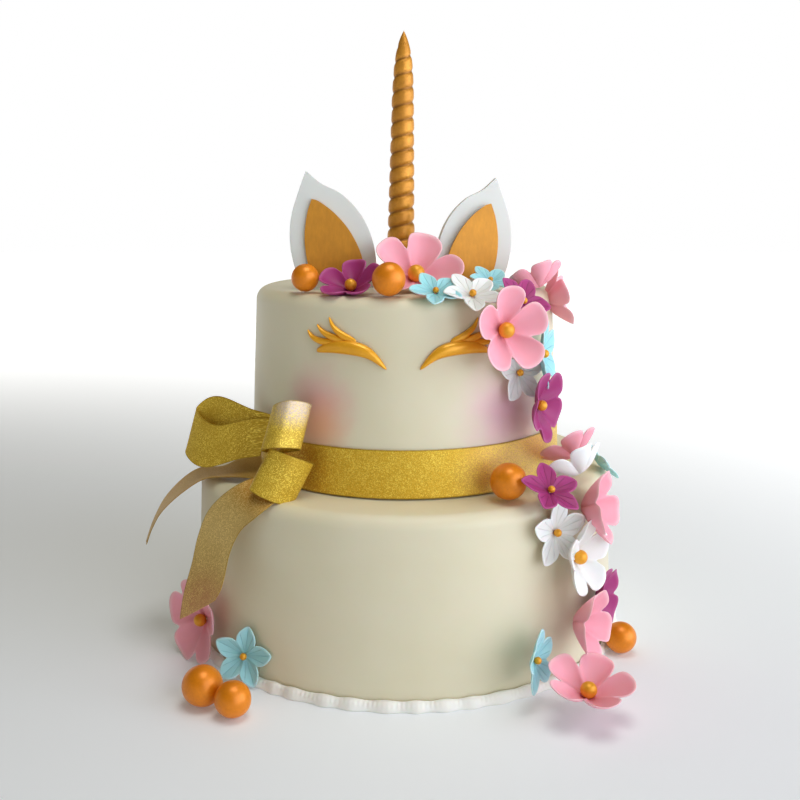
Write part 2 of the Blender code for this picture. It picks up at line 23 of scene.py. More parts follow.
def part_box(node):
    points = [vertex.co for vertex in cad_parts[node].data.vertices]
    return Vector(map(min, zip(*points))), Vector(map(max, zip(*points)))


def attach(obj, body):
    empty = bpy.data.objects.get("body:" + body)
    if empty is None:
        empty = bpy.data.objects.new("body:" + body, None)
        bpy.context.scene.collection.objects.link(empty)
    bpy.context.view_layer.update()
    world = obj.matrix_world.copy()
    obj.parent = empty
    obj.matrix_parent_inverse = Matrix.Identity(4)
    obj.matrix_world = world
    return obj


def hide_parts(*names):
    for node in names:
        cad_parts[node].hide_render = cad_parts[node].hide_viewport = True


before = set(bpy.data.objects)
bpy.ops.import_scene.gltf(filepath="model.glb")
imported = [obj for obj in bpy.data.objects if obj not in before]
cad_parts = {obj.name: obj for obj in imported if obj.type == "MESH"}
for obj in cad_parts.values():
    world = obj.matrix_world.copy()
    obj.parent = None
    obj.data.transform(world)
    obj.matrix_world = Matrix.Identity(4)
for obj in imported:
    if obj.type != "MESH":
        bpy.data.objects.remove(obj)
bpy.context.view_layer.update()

LOG = logging.getLogger("cake")
MM = 0.001
GAP = 0.3  # how far the ears' feet stand off the fondant
TIER_LEAN = 5.0  # how much wider each tier's foot is than its top
RIBBON_WIDE = 26.0
RIBBON_THICK = 0.45
BAND_LONG = 565.0  # once round the upper tier
Place = Callable[[float, float], Vector]
Socket = bpy.types.NodeSocket


# Geometry helpers


@cache
def solid_box(node: str) -> tuple[Vector, Vector]:
    """The lowest and highest corners of a solid's box, in millimetres."""
    low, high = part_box(node)
    return low / MM, high / MM


def polar(bearing: float, radius: float, height: float) -> Vector:
    """The point at a bearing, radius and height round the cake's axis."""
    a = math.radians(bearing)
    return Vector((radius * math.sin(a), -radius * math.cos(a), height))


def facing(bearing: float, rise: float, roll: float = 0.0) -> Matrix:
    """A turn that takes local +Z to a bearing and a rise above level, and local +Y upwards.

    Args:
        bearing: Where local +Z looks, in degrees round the cake.
        rise: How far above level it looks, in degrees.
        roll: A turn about local +Z before that, in degrees.

    Returns:
        The turn as a 4 by 4 matrix.
    """
    a, e = math.radians(bearing), math.radians(rise)
    out = Vector((math.sin(a) * math.cos(e), -math.cos(a) * math.cos(e), math.sin(e)))
    across = Vector((math.cos(a), math.sin(a), 0))
    turn = Matrix((across, out.cross(across), out)).transposed()
    return (turn @ Matrix.Rotation(math.radians(roll), 3, "Z")).to_4x4()


def curve_through(points: list[Vector], share: float) -> Vector:
    """A point on the Catmull-Rom curve through given points.

    Args:
        points: The points, of any one dimension.
        share: Where on the curve, from 0 at its first point to 1 at its last.

    Returns:
        The point there.
    """
    full = [2 * points[0] - points[1], *points, 2 * points[-1] - points[-2]]
    at = min(max(share, 0.0), 1.0) * (len(points) - 1)
    i = min(int(at), len(points) - 2)
    t = at - i
    p0, p1, p2, p3 = full[i : i + 4]
    even = 2 * p1 + (p2 - p0) * t + (2 * p0 - 5 * p1 + 4 * p2 - p3) * t**2
    return 0.5 * (even + (3 * p1 - p0 - 3 * p2 + p3) * t**3)


def unevenness(point: Vector, feature: float) -> float:
    """Smooth noise from -1 to 1 whose swells are about `feature` millimetres across."""
    return noise.noise(point / feature)


def smooth_step(low: float, high: float, value: float) -> float:
    """0 below `low`, 1 above `high`, and a soft rise between them."""
    t = min(max((value - low) / (high - low), 0.0), 1.0)
    return t * t * (3 - 2 * t)


class Bench:
    """Blender's operators, called one after another as a person would call them."""

    @staticmethod
    def clear() -> None:
        """Leaves edit mode and deselects everything."""
        if bpy.context.object and bpy.context.object.mode != "OBJECT":
            bpy.ops.object.mode_set(mode="OBJECT")
        bpy.ops.object.select_all(action="DESELECT")

    @staticmethod
    def pick(piece: bpy.types.Object) -> None:
        """Selects one piece alone and makes it active.

        Args:
            piece: The piece.
        """
        Bench.clear()
        piece.select_set(True)
        bpy.context.view_layer.objects.active = piece

    @staticmethod
    def rolled(
        name: str, columns: int, rows: int, place: Place, size: tuple[float, float] = (1.0, 1.0), closed: bool = True
    ) -> bpy.types.Object:
        """Rolls out a flat sheet, then lays each of its points where `place` says.

        Args:
            name: The piece's name.
            columns: Cells across the sheet.
            rows: Cells along the sheet.
            place: Gives a point in millimetres for shares across and along.
            size: The sheet's width and length in millimetres, which its UV map keeps.
            closed: Whether edges that meet are welded and the faces then turned outwards.

        Returns:
            The new piece.
        """
        Bench.clear()
        bpy.ops.mesh.primitive_grid_add(x_subdivisions=columns, y_subdivisions=rows, size=1.0, calc_uvs=True)
        piece = bpy.context.object
        piece.name = piece.data.name = name
        for vertex in piece.data.vertices:
            vertex.co = place(vertex.co.x + 0.5, vertex.co.y + 0.5) * MM
        for corner in piece.data.uv_layers.active.data:
            corner.uv = (corner.uv[0] * size[0], corner.uv[1] * size[1])
        if closed:
            Bench.weld(piece)
        return piece

    @staticmethod
    def weld(piece: bpy.types.Object) -> None:
        """Joins points that coincide and turns the faces outwards.

        Args:
            piece: The piece.
        """
        Bench.pick(piece)
        bpy.ops.object.mode_set(mode="EDIT")
        bpy.ops.mesh.select_all(action="SELECT")
        bpy.ops.mesh.remove_doubles(threshold=0.000001)
        bpy.ops.mesh.normals_make_consistent(inside=False)
        bpy.ops.object.mode_set(mode="OBJECT")

    @staticmethod
    def finish_with(piece: bpy.types.Object, kind: str, **settings: object) -> None:
        """Adds one modifier and applies it.

        Args:
            piece: The piece.
            kind: The modifier's type.
            settings: The modifier's own properties.
        """
        Bench.pick(piece)
        modifier = piece.modifiers.new(kind.title(), kind)
        for key, value in settings.items():
            setattr(modifier, key, value)
        bpy.ops.object.modifier_apply(modifier=modifier.name)

    @staticmethod
    def thicken(piece: bpy.types.Object, thickness: float, offset: float = 1.0, rounding: int = 1) -> None:
        """Gives a sheet its thickness in millimetres, then rounds its edges by subdivision.

        Args:
            piece: The sheet.
            thickness: Its thickness.
            offset: Which side it grows to: 1 or -1.
            rounding: Levels of subdivision.
        """
        Bench.finish_with(piece, "SOLIDIFY", thickness=thickness * MM, offset=offset)
        if rounding:
            Bench.finish_with(piece, "SUBSURF", levels=rounding, render_levels=rounding)


def dress(piece: bpy.types.Object, finish: "Finish", slot: str, *nodes: str) -> bpy.types.Object:
    """Gives a finished piece its material, and sets it on the cake's body in place of its solids.

    Args:
        piece: The finished piece.
        finish: Its material.
        slot: The record's material slot; not used.
        nodes: The solids that the piece stands for.

    Returns:
        The piece.
    """
    piece.data.materials.clear()
    piece.data.materials.append(finish.material())
    piece.data.shade_smooth()
    if nodes:
        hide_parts(*nodes)
    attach(piece, "root")
    LOG.info("%s: %d faces", piece.name, len(piece.data.polygons))
    return piece


# Materials


def linear(code: str) -> tuple[float, float, float, float]:
    """An sRGB hex colour as linear red, green, blue and alpha.

    Args:
        code: The colour, such as #FFFFFF.

    Returns:
        The colour as a shader takes it.
    """
    parts = [int(code[i : i + 2], 16) / 255 for i in (1, 3, 5)]
    r, g, b = (c / 12.92 if c <= 0.04045 else ((c + 0.055) / 1.055) ** 2.4 for c in parts)
    return (r, g, b, 1.0)


def per_metre(size: float) -> float:
    """The scale of a pattern on Object coordinates whose features are `size` millimetres."""
    return 1 / (size * MM)


def add_node(
    tree: bpy.types.NodeTree, kind: str, settings: dict | None = None, links: dict | None = None
) -> bpy.types.Node:
    """Adds one shader node.

    Args:
        tree: The material's node tree.
        kind: The node's type, without "ShaderNode".
        settings: The node's own properties.
        links: For each input, by name or number, a value or another node's output.

    Returns:
        The node.
    """
    made = tree.nodes.new("ShaderNode" + kind)
    for key, value in (settings or {}).items():
        setattr(made, key, value)
    for key, value in (links or {}).items():
        if isinstance(value, Socket):
            tree.links.new(value, made.inputs[key])
        else:
            made.inputs[key].default_value = value
    return made


@dataclass(frozen=True)
class Finish:
    """What every finish has: a name, and a Principled shader with its fixed values."""

    name: str
    colour: str
    roughness: float

    def shader_values(self) -> dict:
        """The shader's fixed values besides roughness."""
        return {}

    def paint(self, tree: bpy.types.NodeTree, shader: bpy.types.Node) -> None:
        """Adds the pattern. A plain finish has none."""

    def material(self) -> bpy.types.Material:
        """The material, made once for each name.

        Returns:
            The material.
        """
        found = bpy.data.materials.get(self.name)
        if found:
            return found
        made = bpy.data.materials.new(self.name)
        made.use_nodes = True
        tree = made.node_tree
        shader = tree.nodes["Principled BSDF"]
        shader.inputs["Base Color"].default_value = linear(self.colour)
        shader.inputs["Roughness"].default_value = self.roughness
        for key, value in self.shader_values().items():
            shader.inputs[key].default_value = value
        self.paint(tree, shader)
        return made


RGBA = {"data_type": "RGBA"}
SOFT = {"interpolation_type": "SMOOTHSTEP"}
TIMES = {"operation": "MULTIPLY"}


@dataclass(frozen=True)
class Blush:
    """A soft patch of petal dust: its middle in millimetres, its reach, colour and strength."""

    middle: tuple[float, float, float]
    reach: float
    colour: str
    strength: float


@dataclass(frozen=True)
class Fondant(Finish):
    """Rolled fondant, smoothed by hand: satin, a little light inside, faint swells, and dusted blushes."""

    deep_colour: str = "#DDD5B4"
    blushes: tuple[Blush, ...] = ()

    def shader_values(self) -> dict:
        """Sugar paste lets light in a few millimetres, which softens its shading."""
        return {"Subsurface Weight": 0.1, "Subsurface Scale": 0.004, "Specular IOR Level": 0.35, "IOR": 1.5}

    def paint(self, tree: bpy.types.NodeTree, shader: bpy.types.Node) -> None:
        """Mottles the colour, dusts on the blushes, and adds the smoother's marks and sugar grain.

        Args:
            tree: The material's node tree.
            shader: Its Principled shader.
        """
        put = partial(add_node, tree)
        spot = put("TexCoord").outputs["Object"]
        mottle = put("TexNoise", None, {"Vector": spot, "Scale": per_metre(40), "Detail": 3.0}).outputs["Fac"]
        colours = {0: mottle, 6: linear(self.colour), 7: linear(self.deep_colour)}
        colour = put("Mix", RGBA, colours).outputs[2]
        cloud = put("TexNoise", None, {"Vector": spot, "Scale": per_metre(12), "Detail": 4.0}).outputs["Fac"]
        for blush in self.blushes:
            reach = blush.reach * MM
            far = put("VectorMath", {"operation": "DISTANCE"}, {0: spot, 1: [c * MM for c in blush.middle]})
            ragged = put("Math", {"operation": "MULTIPLY_ADD"}, {0: cloud, 1: 0.5 * reach, 2: far.outputs["Value"]})
            span = {"From Min": 0.15 * reach, "From Max": 1.5 * reach, "To Min": blush.strength, "To Max": 0.0}
            near = put("MapRange", SOFT, {"Value": ragged.outputs[0], **span}).outputs[0]
            colour = put("Mix", RGBA, {0: near, 6: colour, 7: linear(blush.colour)}).outputs[2]
        tree.links.new(colour, shader.inputs["Base Color"])
        swell = put("TexNoise", None, {"Vector": spot, "Scale": per_metre(14), "Detail": 2.0}).outputs["Fac"]
        grain = put("TexNoise", None, {"Vector": spot, "Scale": per_metre(0.9), "Detail": 2.0}).outputs["Fac"]
        soft = put("Bump", None, {"Strength": 0.12, "Distance": 0.0008, "Height": swell}).outputs["Normal"]
        fine = {"Strength": 0.12, "Distance": 0.0001, "Height": grain, "Normal": soft}
        tree.links.new(put("Bump", None, fine).outputs["Normal"], shader.inputs["Normal"])


@dataclass(frozen=True)
class StudioPaper(Finish):
    """Background paper: matt and pale, with a glow that grows behind and to the right, where the air is white."""

    def paint(self, tree: bpy.types.NodeTree, shader: bpy.types.Node) -> None:
        """Adds paper fibre, and the glow that grows with distance from a point in front and to the left.

        Args:
            tree: The material's node tree.
            shader: Its Principled shader.
        """
        put = partial(add_node, tree)
        spot = put("TexCoord").outputs["Object"]
        far = put("VectorMath", {"operation": "DISTANCE"}, {0: spot, 1: (-0.5, -0.7, 0.0)}).outputs["Value"]
        span = {"Value": far, "From Min": 0.85, "From Max": 1.9, "To Min": 0.08, "To Max": 0.95}
        glow = put("MapRange", SOFT, span).outputs[0]
        shader.inputs["Emission Color"].default_value = linear("#FFFFFF")
        tree.links.new(glow, shader.inputs["Emission Strength"])
        fibre = put("TexNoise", None, {"Vector": spot, "Scale": per_metre(2), "Detail": 3.0}).outputs["Fac"]
        bump = put("Bump", None, {"Strength": 0.05, "Distance": 0.0001, "Height": fibre}).outputs["Normal"]
        tree.links.new(bump, shader.inputs["Normal"])


@dataclass(frozen=True)
class PetalPaste(Finish):
    """Gum paste rolled thin: matt, deeper at its heart, paler at its dusted edge; plain, or with pressed veins in
    painted shade.
    """

    heart_colour: str
    edge_colour: str
    vein_depth: float = 0.0
    vein_shade_colour: str = "#000000"
    vein_shade_strength: float = 0.0

    def shader_values(self) -> dict:
        """Light passes a little way into a thin petal."""
        return {"Subsurface Weight": 0.15, "Subsurface Scale": 0.002, "Specular IOR Level": 0.3, "IOR": 1.5}

    def paint(self, tree: bpy.types.NodeTree, shader: bpy.types.Node) -> None:
        """Shades each petal on its map, where V runs out from the heart and U counts petals round it.

        Args:
            tree: The material's node tree.
            shader: Its Principled shader.
        """
        put = partial(add_node, tree)
        part = put("SeparateXYZ", None, {0: put("TexCoord").outputs["UV"]})
        spot, out = put("TexCoord").outputs["Object"], part.outputs["Y"]
        mottle = put("TexNoise", None, {"Vector": spot, "Scale": per_metre(7), "Detail": 3.0}).outputs["Fac"]
        inner = {"Value": out, "From Min": 0.1, "From Max": 0.8, "To Min": 0.9, "To Max": 0.0}
        heart = put("Math", TIMES, {0: put("MapRange", SOFT, inner).outputs[0], 1: mottle}).outputs[0]
        rim = put("MapRange", SOFT, {"Value": out, "From Min": 0.88, "From Max": 1.0, "To Max": 0.7}).outputs[0]
        colours = {0: heart, 6: linear(self.colour), 7: linear(self.heart_colour)}
        colour = put("Mix", RGBA, colours).outputs[2]
        colour = put("Mix", RGBA, {0: rim, 6: colour, 7: linear(self.edge_colour)}).outputs[2]
        grain = put("TexNoise", None, {"Vector": spot, "Scale": per_metre(0.7), "Detail": 2.0}).outputs["Fac"]
        bump = put("Bump", None, {"Strength": 0.15, "Distance": 0.0001, "Height": grain}).outputs["Normal"]
        if self.vein_depth:
            # Four lines to a petal fan out from the heart, and fade before its edge.
            comb = put("Math", TIMES, {0: part.outputs["X"], 1: 4.0}).outputs[0]
            saw = put("Math", {"operation": "PINGPONG"}, {0: comb, 1: 0.5}).outputs[0]
            line = put("MapRange", SOFT, {"Value": saw, "From Max": 0.13, "To Min": 1.0, "To Max": 0.0}).outputs[0]
            fade = {"Value": out, "From Min": 0.75, "From Max": 0.98, "To Min": 1.0, "To Max": 0.0}
            vein = put("Math", TIMES, {0: line, 1: put("MapRange", SOFT, fade).outputs[0]}).outputs[0]
            # Painted shade: the pressed veins are darkened towards the vein shade colour.
            vein_shade_amount = put("Math", TIMES, {0: vein, 1: self.vein_shade_strength}).outputs[0]
            colour = put("Mix", RGBA, {0: vein_shade_amount, 6: colour, 7: linear(self.vein_shade_colour)}).outputs[2]
            pressed = {"Strength": self.vein_depth, "Distance": 0.0005, "Height": vein, "Normal": bump}
            bump = put("Bump", {"invert": True}, pressed).outputs["Normal"]
        tree.links.new(colour, shader.inputs["Base Color"])
        tree.links.new(bump, shader.inputs["Normal"])


@dataclass(frozen=True)
class LustrePaint(Finish):
    """Gold lustre dust brushed on paste: a satin sheen, thin in places, and painted shade in grooves."""

    dark_colour: str
    streak: tuple[float, float, float] = (1.0, 1.0, 1.0)
    metallic: float = 0.5
    wear: float = 0.6
    shaded_grooves: bool = False

    def shader_values(self) -> dict:
        """Mica flakes in a binder shine half way between paste and metal."""
        return {"Metallic": self.metallic}

    def paint(self, tree: bpy.types.NodeTree, shader: bpy.types.Node) -> None:
        """Draws the brush's streaks, and painted shade in the grooves where the piece has them.

        Args:
            tree: The material's node tree.
            shader: Its Principled shader.
        """
        put = partial(add_node, tree)
        spot = put("TexCoord").outputs["Object"]
        pulled = put("Mapping", None, {"Vector": spot, "Scale": self.streak}).outputs[0]
        strokes = {"Vector": pulled, "Scale": per_metre(1.6), "Detail": 4.0, "Roughness": 0.6}
        brush = put("TexNoise", None, strokes).outputs["Fac"]
        worn = put("TexNoise", None, {"Vector": spot, "Scale": per_metre(9), "Detail": 3.0}).outputs["Fac"]
        blend = put("Math", TIMES, {0: brush, 1: worn}).outputs[0]
        span = {"Value": blend, "From Min": 0.12, "From Max": 0.4, "To Min": self.wear, "To Max": 0.0}
        thin = put("MapRange", None, span).outputs[0]
        colours = {0: thin, 6: linear(self.colour), 7: linear(self.dark_colour)}
        colour = put("Mix", RGBA, colours).outputs[2]
        if self.shaded_grooves:
            # Painted shade: the grooves are darkened by the attribute that the horn writes.
            groove = put("Attribute", {"attribute_name": "groove"}).outputs["Fac"]
            colour = put("Mix", RGBA, {0: groove, 6: colour, 7: linear("#7A4A14")}).outputs[2]
        tree.links.new(colour, shader.inputs["Base Color"])
        bump = put("Bump", None, {"Strength": 0.2, "Distance": 0.0002, "Height": brush}).outputs["Normal"]
        tree.links.new(bump, shader.inputs["Normal"])


@dataclass(frozen=True)
class Tone:
    """A patch of a ribbon painted another colour, which on the band and upper loop is painted light and shade: its
    middle and reach on the ribbon's map, in millimetres.
    """

    across: float
    along: float
    wide: float
    long: float
    colour: str
    strength: float


@dataclass(frozen=True)
class GlitterRibbon(Finish):
    """Metallised polyester ribbon: gold yarns, with tiny bright flecks, between firm selvedges."""

    fleck_colour: str = "#FFE65E"
    dark_colour: str = "#A07C14"
    sheer: float = 1.0
    tones: tuple[Tone, ...] = ()

    def shader_values(self) -> dict:
        """Foil yarns shine as metal, and a sheer stretch lets a little of what is behind it through."""
        return {"Metallic": 0.45, "Alpha": self.sheer}

    def paint(self, tree: bpy.types.NodeTree, shader: bpy.types.Node) -> None:
        """Weaves the yarns on the ribbon's own map, which is in millimetres, and scatters the flecks.

        Args:
            tree: The material's node tree.
            shader: Its Principled shader.
        """
        put = partial(add_node, tree)
        flat = put("TexCoord").outputs["UV"]
        part = put("SeparateXYZ", None, {0: flat})
        # Real yarns are 0.3 mm apart; they are drawn 0.7 mm apart, so that they show.
        yarns = 2 * math.pi / 0.7
        weft = put("Math", TIMES, {0: part.outputs["Y"], 1: yarns}).outputs[0]
        warp = put("Math", TIMES, {0: part.outputs["X"], 1: yarns}).outputs[0]
        ribs = put("Math", {"operation": "SINE"}, {0: weft}).outputs[0]
        cords = put("Math", {"operation": "SINE"}, {0: warp}).outputs[0]
        cloth = put("Math", TIMES, {0: ribs, 1: cords}).outputs[0]
        # Real flecks are 0.2 mm wide; they are drawn 0.35 mm wide, so that they show.
        cells = put("TexVoronoi", {"voronoi_dimensions": "2D"}, {"Vector": flat, "Scale": 2.8})
        chance = put("SeparateColor", None, {0: cells.outputs["Color"]})
        cloud = put("TexNoise", None, {"Vector": flat, "Scale": 0.1, "Detail": 1.0}).outputs["Fac"]
        dense = {"Value": cloud, "From Min": 0.3, "From Max": 0.7, "To Min": 0.85, "To Max": 1.1}
        lean = put("Math", TIMES, {0: chance.outputs[0], 1: put("MapRange", None, dense).outputs[0]}).outputs[0]
        bright = put("MapRange", SOFT, {"Value": lean, "From Min": 0.5, "From Max": 1.0, "To Max": 0.85}).outputs[0]
        shade = {"Value": chance.outputs[1], "From Min": 0.3, "From Max": 1.0, "To Max": 0.4}
        deep = put("MapRange", None, shade).outputs[0]
        colour = linear(self.colour)
        # Tones: patches painted another colour, among them painted highlights, painted sheen and painted shade.
        for tone in self.tones:
            moved = put("VectorMath", {"operation": "SUBTRACT"}, {0: flat, 1: (tone.across, tone.along, 0)})
            scaled = {0: moved.outputs[0], 1: (1 / tone.wide, 1 / tone.long, 0)}
            near = put("VectorMath", {"operation": "MULTIPLY"}, scaled).outputs[0]
            far = put("VectorMath", {"operation": "LENGTH"}, {0: near}).outputs["Value"]
            span = {"Value": far, "From Min": 0.2, "To Min": tone.strength, "To Max": 0.0}
            spread = put("MapRange", SOFT, span).outputs[0]
            colour = put("Mix", RGBA, {0: spread, 6: colour, 7: linear(tone.colour)}).outputs[2]
        colour = put("Mix", RGBA, {0: deep, 6: colour, 7: linear(self.dark_colour)}).outputs[2]
        colour = put("Mix", RGBA, {0: bright, 6: colour, 7: linear(self.fleck_colour)}).outputs[2]
        edge = put("Math", {"operation": "PINGPONG"}, {0: part.outputs["X"], 1: RIBBON_WIDE / 2}).outputs[0]
        hem = {"Value": edge, "From Min": 0.4, "From Max": 0.8, "To Min": 0.6, "To Max": 0.0}
        firm = put("MapRange", SOFT, hem).outputs[0]
        colour = put("Mix", RGBA, {0: firm, 6: colour, 7: linear(self.dark_colour)}).outputs[2]
        tree.links.new(colour, shader.inputs["Base Color"])
        tilt = put("Bump", None, {"Strength": 0.4, "Distance": 0.0002, "Height": chance.outputs[2]})
        woven = {"Strength": 0.3, "Distance": 0.0001, "Height": cloth, "Normal": tilt.outputs["Normal"]}
        tree.links.new(put("Bump", None, woven).outputs["Normal"], shader.inputs["Normal"])


BLUSH_LEFT = Blush((-46.0, -77.0, 146.0), 24.0, "#E8A0A8", 0.7)
BLUSH_LEFT_WARM = Blush((-45.0, -77.5, 134.0), 19.0, "#EFAE80", 0.7)
BLUSH_RIGHT = Blush((54.0, -72.0, 140.0), 30.0, "#F6BFD4", 0.8)
BLUSHES = (BLUSH_LEFT, BLUSH_LEFT_WARM, BLUSH_RIGHT)
UPPER_FONDANT = Fondant("fondant_ivory_blushed", "#E7E0C6", 0.4, blushes=BLUSHES)
LOWER_FONDANT = Fondant("fondant_ivory", "#E7E0C6", 0.4)
BORDER_FONDANT = Fondant("fondant_white_crimped", "#FAF9F3", 0.5, deep_colour="#F0EDE3")
# The ears' paste is greyer than the border's white: painted shade on the ears.
SHADED_EAR_PASTE = Fondant("gum_paste_white", "#E2E5E0", 0.5, deep_colour="#D8DCD6")
# The horn's grooves are darkened with painted shade.
HORN_GOLD = LustrePaint("lustre_antique_gold", "#DE9A32", 0.4, "#B0701E", metallic=0.4, shaded_grooves=True)
LINING_GOLD = LustrePaint(
    "lustre_gold_brushed", "#D6942C", 0.5, "#A8701E", streak=(1.0, 1.0, 0.3), metallic=0.35, wear=0.4
)
LASH_GOLD = LustrePaint("lustre_bright_gold", "#FAB428", 0.3, "#E0981C", metallic=0.25, wear=0.4)
BALL_GOLD = LustrePaint("lustre_orange_gold", "#EF8E10", 0.36, "#C4660A", metallic=0.25, wear=0.4)
PEARL_GOLD = LustrePaint("lustre_pearl_gold", "#F0A826", 0.38, "#CC8616", metallic=0.28, wear=0.4)
# Painted light: a painted highlight on the band's right end, and painted shade beside the bow at its left.
BAND_PAINTED_LIGHT_AND_SHADE = (Tone(13.0, 70.0, 30.0, 50.0, "#FCD88C", 0.9), Tone(13.0, 495.0, 30.0, 40.0, "#D08C1C", 0.9))
BAND_RIBBON = GlitterRibbon("ribbon_glitter_band", "#DFB02A", 0.4, tones=BAND_PAINTED_LIGHT_AND_SHADE)
BOW_RIBBON = GlitterRibbon("ribbon_glitter_bow", "#C8A024", 0.4)
# Painted sheen: a pale pinkish highlight patch on the upper loop.
UPPER_PAINTED_SHEEN = (Tone(24.0, 27.0, 16.0, 22.0, "#DCCBC0", 0.9),)
UPPER_RIBBON = GlitterRibbon("ribbon_glitter_upper", "#C9A534", 0.42, tones=UPPER_PAINTED_SHEEN)
FRONT_TONES = (Tone(13.0, 8.0, 30.0, 24.0, "#C98A22", 0.9), Tone(13.0, 80.0, 30.0, 30.0, "#D09464", 0.95))
FRONT_RIBBON = GlitterRibbon("ribbon_glitter_front", "#D4B46C", 0.42, "#F6D988", sheer=0.93, tones=FRONT_TONES)
LEFT_RIBBON = GlitterRibbon("ribbon_matt_left", "#C69C4C", 0.5, "#D2B062", sheer=0.96)


class Paste(Enum):
    """The blossoms' colours: each one's plain and veined finishes, and the record's slot."""

    PINK = (
        PetalPaste("petal_paste_pink", "#F4A8B6", 0.5, "#DC8090", "#F7C6CC"),
        PetalPaste("petal_paste_pink_veined", "#F4A8B6", 0.5, "#DC8090", "#F7C6CC", 0.4, "#D77D87", 0.3),
        "pink_paste",
    )
    BLUE = (
        PetalPaste("petal_paste_blue", "#A4DEE4", 0.5, "#7CC4CE", "#C4EBEE"),
        PetalPaste("petal_paste_blue_veined", "#A4DEE4", 0.5, "#7CC4CE", "#C4EBEE", 0.5, "#5FA3AC", 0.35),
        "blue_paste",
    )
    MAGENTA = (
        PetalPaste("petal_paste_magenta", "#A33374", 0.45, "#7A1F4E", "#B85A92"),
        PetalPaste("petal_paste_magenta_veined", "#A33374", 0.45, "#7A1F4E", "#B85A92", 0.5, "#64143E", 0.55),
        "magenta_paste",
    )
    WHITE = (
        PetalPaste("petal_paste_white", "#F0F1EE", 0.5, "#DCDDD6", "#FAFBFA"),
        PetalPaste("petal_paste_white_veined", "#F0F1EE", 0.5, "#DCDDD6", "#FAFBFA", 0.6, "#CBCCC4", 0.35),
        "white_paste",
    )


# Tiers, border and band


@dataclass
class Tier:
    """A tier under fondant, from its solid's box: a flat foot, a leaning side and a rounded top edge."""

    node: str
    finish: Finish
    lean: float = TIER_LEAN
    edge: float = 7.6  # the radius of its top edge
    columns: int = 200

    def profile(self) -> list[Vector]:
        """The outline from the middle of the top, over the edge and down to the middle of the foot.

        Returns:
            The outline, as (radius, height) points.
        """
        low, high = solid_box(self.node)
        foot, top, wide = low.z, high.z, high.x
        narrow = wide - self.lean
        line = [Vector(((narrow - self.edge) * i / 16, top)) for i in range(16)]
        for i in range(11):
            a = math.radians(90 - 9 * i)
            out = narrow - self.edge * (1 - math.cos(a))
            line.append(Vector((out, top - self.edge * (1 - math.sin(a)))))
        for i in range(1, 40):
            share = i / 40
            line.append(Vector((narrow + self.lean * share, top - self.edge + (foot + 1.2 - top + self.edge) * share)))
        line += [Vector((wide - 0.1, foot + 0.5)), Vector((wide - 0.8, foot)), Vector((wide * 0.5, foot))]
        return [*line, Vector((0, foot))]

    def build(self) -> bpy.types.Object:
        """Turns the outline round the axis, with the small swells that a hand-smoothed skin has.

        Returns:
            The tier's skin.
        """
        line = self.profile()

        def place(across: float, along: float) -> Vector:
            """The skin at a share of a turn and a share of the outline.

            Args:
                across: A share of a turn.
                along: A share of the outline.

            Returns:
                The point, in millimetres.
            """
            i = round(along * (len(line) - 1))
            before, after = line[max(i - 1, 0)], line[min(i + 1, len(line) - 1)]
            run = (after - before).normalized()
            at = polar(360 * across, line[i].x, line[i].y)
            dent = 0.22 * unevenness(at, 38) + 0.08 * unevenness(at, 15) - 0.25
            if i >= len(line) - 4:
                dent = 0.0
            out = polar(360 * across, -run.y, run.x)
            return at + out * dent

        piece = Bench.rolled(f"{self.node}_skin", self.columns, len(line) - 1, place)
        return dress(piece, self.finish, "ivory_fondant", self.node)


@dataclass
class FootBorder:
    """A strip of paste pinched in and out along its length, with rows of fine flutes from the crimper's teeth."""

    bulges: int = 52
    teeth: int = 336
    columns: int = 1344  # four to a tooth
    deep: float = 4.4

    def section(self, bearing: float) -> list[Vector]:
        """The strip's outline at a bearing, as (radius, height) points.

        Args:
            bearing: Degrees round the cake.

        Returns:
            The points, from the inner foot back to it.
        """
        outer, _, top = solid_box("foot_border")[1]
        inner = outer - self.deep
        drift = unevenness(polar(bearing, 130, 0), 24)
        phase = math.radians(bearing * self.bulges) + 2.2 * drift
        bulge = 0.5 + 0.5 * math.sin(phase)
        tooth = (0.5 + 0.5 * math.cos(math.radians(bearing * self.teeth))) * (1 - 0.75 * bulge)
        face = outer - 0.15 - 1.15 * (1 - bulge)
        crest = top - 0.1 - 0.7 * (1 - bulge)
        cut = 0.42 * tooth
        return [
            Vector((inner, 0)),
            Vector((face - 0.5, 0)),
            Vector((face - 0.05, 0.4)),
            Vector((face, 1.4)),
            Vector((face - 0.1, 2.3)),
            Vector((face - 0.25 - cut, 3.2)),
            Vector((face - 0.6 - cut, 4.2)),
            Vector((face - 1.2 - cut, 0.9 * crest - 0.4 * cut)),
            Vector((face - 2.2 - 0.6 * cut, crest - 0.5 * cut)),
            Vector((inner + 0.5, crest - 0.1)),
            Vector((inner, crest - 0.6)),
            Vector((inner, 0)),
        ]

    def build(self) -> bpy.types.Object:
        """Carries the section round the foot.

        Returns:
            The border.
        """

        def place(across: float, along: float) -> Vector:
            """The strip's surface at a share of a turn and a share of its section.

            Args:
                across: A share of a turn.
                along: A share of the section.

            Returns:
                The point, in millimetres.
            """
            line = self.section(360 * across)
            spot = line[round(along * (len(line) - 1))]
            return polar(360 * across, spot.x, spot.y)

        piece = Bench.rolled("foot_border_crimped", self.columns, 11, place)
        return dress(piece, BORDER_FONDANT, "white_paste", "foot_border")


